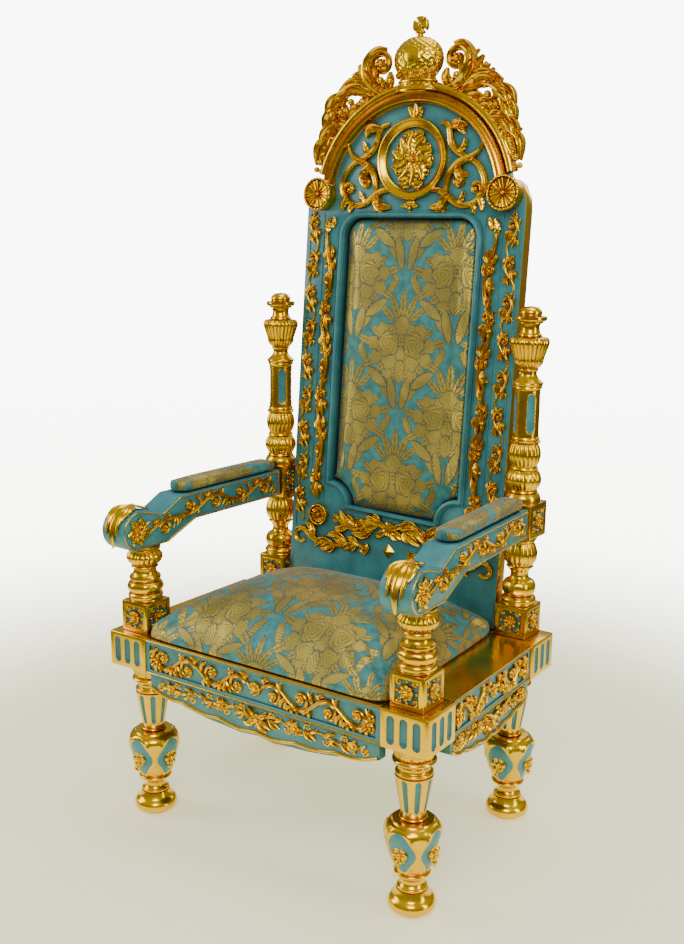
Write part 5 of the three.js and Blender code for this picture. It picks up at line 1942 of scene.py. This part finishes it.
def makeCushion():
    # a crowned form, blown up by the cloth solver, flat where it rests on the deck
    look = cushionValues
    low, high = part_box("seat_cushion")
    center = (low + high) / 2
    clearSelection()
    bpy.ops.mesh.primitive_cube_add(size=2, location=(0, 0, 0))
    pad = bpy.context.object
    pad.name = "brocade_cushion"
    bpy.ops.object.mode_set(mode="EDIT")
    bpy.ops.mesh.subdivide(number_cuts=28)
    bpy.ops.object.mode_set(mode="OBJECT")
    halfX = (high.x - low.x) / 2 + look["wider"] - look["swell"]
    halfY = (high.y - low.y) / 2 + look["deeper"] - look["swell"]
    center.y -= look["ahead"]
    crown = high.z - low.z - look["swell"]
    for v in pad.data.vertices:
        x, y, z = v.co
        # round the plan's corners, let the sides pull in, and raise the crown
        reach = max(abs(x), abs(y))
        length = (abs(x) ** 16 + abs(y) ** 16) ** (1 / 16)
        k = reach / length if length > 0 else 1
        px, py = x * k, y * k
        dome = (1 - abs(px) ** 2.6) ** 0.60 * (1 - abs(py) ** 3.0) ** 0.60 if max(abs(px),
                                                                                  abs(py)) < 1 else 0
        t = (z + 1) / 2
        rim = look["edge"] + (crown - look["edge"]) * dome
        bulge = 1 - 0.018 * (1 - math.sin(math.pi * min(1, max(0, t))))
        taper = 1 - 0.030 * (py + 1)
        v.co = (center.x + px * halfX * bulge * taper, center.y + py * halfY * bulge, low.z + 0.002
                + t * rim)
    base = low.z
    plump(pad, look["voxel"], look["cap"], 4.0, lambda co: co.z < base + 0.006)
    for v in pad.data.vertices:
        v.co.z = max(v.co.z, base + 0.0015)
    shiftX, shiftY = look["pattern"]
    topZ = base + look["edge"] + 0.02
    chart(pad, lambda co, n: (co.x + shiftX + n.x * max(0, topZ - co.z), co.y + shiftY
                              + n.y * max(0, topZ - co.z)))
    smooth(pad, 60)
    finishPiece(pad, [brocade], "brocade", "seat_cushion")


def makeBackPad():
    # fills the opening of the back board
    pad = flatBoard("brocade_back_pad", [openingPath(-3.0)], 17, 2.0)
    for v in pad.data.vertices:
        v.co.z -= 3.5
    settle(pad, Matrix.Scale(mm, 4))
    plump(pad, 0.0056, 0.007, 3.0, lambda co: co.z < -0.016)
    chart(pad, lambda co, n: (co.x, co.y - 0.590))
    smooth(pad, 60)
    settle(pad, backPlane @ Matrix.Scale(1 / mm, 4))
    finishPiece(pad, [brocade], "brocade", "back_pad")


def makeArmPad(hand, side):
    low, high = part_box(f"arm_pad_{hand}")
    center = (low + high) / 2
    half = (high.y - low.y) / 2 / mm - 3
    wide = 27
    outline = [(wide, half - 6), (wide - 6, half), (6 - wide, half), (-wide, half - 6)]
    outline += arcPoints(0, wide - half, wide, 180, 360, 16)
    pad = flatBoard(f"brocade_arm_pad_{hand}", [outline], 20, 2.5)
    for v in pad.data.vertices:
        v.co.z += 20.5
        if v.co.z > 8:
            v.co.z += 6 * (1 - (v.co.x / wide) ** 2)
    settle(pad, Matrix.Scale(mm, 4))
    plump(pad, 0.0048, 0.007, 4.0, lambda co: co.z < 0.003)
    for v in pad.data.vertices:
        v.co.z = max(v.co.z, 0.0012)
    bake(pad, "SUBSURF", levels=1, render_levels=1)
    fall = 0.03
    chart(pad, lambda co, n: (co.x + side * 0.04 + n.x * max(0, fall - co.z), co.y + 0.05
                              + n.y * max(0, fall - co.z)))
    smooth(pad, 60)
    settle(pad, Matrix.Translation((center.x, center.y, low.z))
           @ Matrix.Rotation(side * armValues["splay"], 4, "Z"))
    finishPiece(pad, [brocade], "brocade", f"arm_pad_{hand}")


makeCushion()
makeBackPad()
for hand, side in (("left", -1), ("right", 1)):
    makeArmPad(hand, side)
print("padded work done")

for section in (roundSection, hollowSection, mouldSection):
    bpy.data.objects.remove(section)


stageValues = {
    "floorColor": (0.94, 0.92, 0.66),
    "glow": (1.0, 0.99, 0.50), "glowStrength": 0.62,
    "fadeStart": 0.9, "fadeEnd": 2.6,
    "backdrop": 9.0,
    "roomLight": 0.62,
}


def makeStage():
    # a pale floor that fades into a plain backdrop, lit softly from all round
    look = stageValues
    clearSelection()
    bpy.ops.mesh.primitive_plane_add(size=14, location=(0, 0, 0))
    floor = bpy.context.object
    floor.name = "studioFloor"
    material, tree, shader, where = startMaterial("studioFloor")
    soft = noiseWire(tree, where, 3, 2)
    tone = blendColor(tree, soft, tuple(c * 0.98 for c in look["floorColor"]), look["floorColor"])
    tree.links.new(tone, shader.inputs["Base Color"])
    shader.inputs["Roughness"].default_value = 0.85
    shader.inputs["Emission Color"].default_value = (*look["glow"], 1)
    shader.inputs["Emission Strength"].default_value = look["glowStrength"]
    # the floor fades into the backdrop a few metres out
    split = tree.nodes.new("ShaderNodeVectorMath")
    split.operation = "LENGTH"
    tree.links.new(where, split.inputs[0])
    fade = wireOf(tree, split, 1).step(look["fadeEnd"], look["fadeStart"])
    tree.links.new(fade.socket, shader.inputs["Alpha"])
    floor.data.materials.append(material)
    world = bpy.data.worlds.new("studio")
    bpy.context.scene.world = world
    world.use_nodes = True
    tree = world.node_tree
    air = tree.nodes["Background"]
    aim = tree.nodes.new("ShaderNodeTexCoord")
    split = tree.nodes.new("ShaderNodeSeparateXYZ")
    tree.links.new(aim.outputs["Generated"], split.inputs[0])
    height = wireOf(tree, split, 2)
    room = blendColor(tree, height.step(-0.35, 0.75), (0.16, 0.13, 0.10), (0.78, 0.80, 0.82))
    wall = blendColor(tree, height.step(-0.55, -0.02), (0.66, 0.635, 0.51), (1.0, 1.0, 0.975))
    path = tree.nodes.new("ShaderNodeLightPath")
    seen = wireOf(tree, path, 0)
    tree.links.new(blendColor(tree, seen, room, wall), air.inputs["Color"])
    tree.links.new((look["roomLight"] + seen * (look["backdrop"] - look["roomLight"])).socket,
                   air.inputs["Strength"])


def makeLamp(name, size, watts, place, aim, color=(1, 1, 1)):
    lamp = bpy.data.lights.new(name, "AREA")
    lamp.shape = "RECTANGLE"
    lamp.size, lamp.size_y = size
    lamp.energy = watts
    lamp.color = color
    thing = bpy.data.objects.new(name, lamp)
    bpy.context.scene.collection.objects.link(thing)
    thing.location = place
    thing.rotation_euler = (Vector(aim) - Vector(place)).to_track_quat("-Z", "Y").to_euler()


cameraValues = {
    "place": (1.36798, -1.94860, 1.30653),
    "turn": 0.61,  # how far the view is turned from straight on
    "tilt": 0.219,  # how far it looks down
    "roll": 0.005,
    "lens": 44.10,
}


def makeCamera():
    look = cameraValues
    camera = bpy.data.cameras.new("camera")
    camera.lens = look["lens"]
    camera.sensor_width = 36
    thing = bpy.data.objects.new("camera", camera)
    bpy.context.scene.collection.objects.link(thing)
    turn, tilt = look["turn"], look["tilt"]
    ahead = Vector((-math.sin(turn) * math.cos(tilt), math.cos(turn) * math.cos(tilt), -math.sin(tilt)))
    thing.location = look["place"]
    aim = ahead.to_track_quat("-Z", "Y").to_matrix().to_4x4()
    thing.matrix_world = Matrix.Translation(look["place"]) @ aim @ Matrix.Rotation(look["roll"], 4, "Z")
    bpy.context.scene.camera = thing


makeStage()
makeLamp("keyLamp", (1.6, 1.6), 62, (1.6, -2.6, 2.9), (0, 0, 0.9))
makeLamp("leftLamp", (1.2, 2.2), 40, (-2.8, -1.4, 1.8), (0, 0, 0.9))
makeLamp("topLamp", (2.0, 1.4), 30, (0.2, 0.6, 3.6), (0, 0, 0.8))
makeLamp("rightLamp", (0.5, 2.2), 26, (2.9, 0.2, 1.5), (0, 0, 0.9))
makeLamp("backLamp", (2.0, 1.2), 16, (0.0, 3.2, 2.4), (0, 0, 1.0))
makeCamera()
print("stage set")
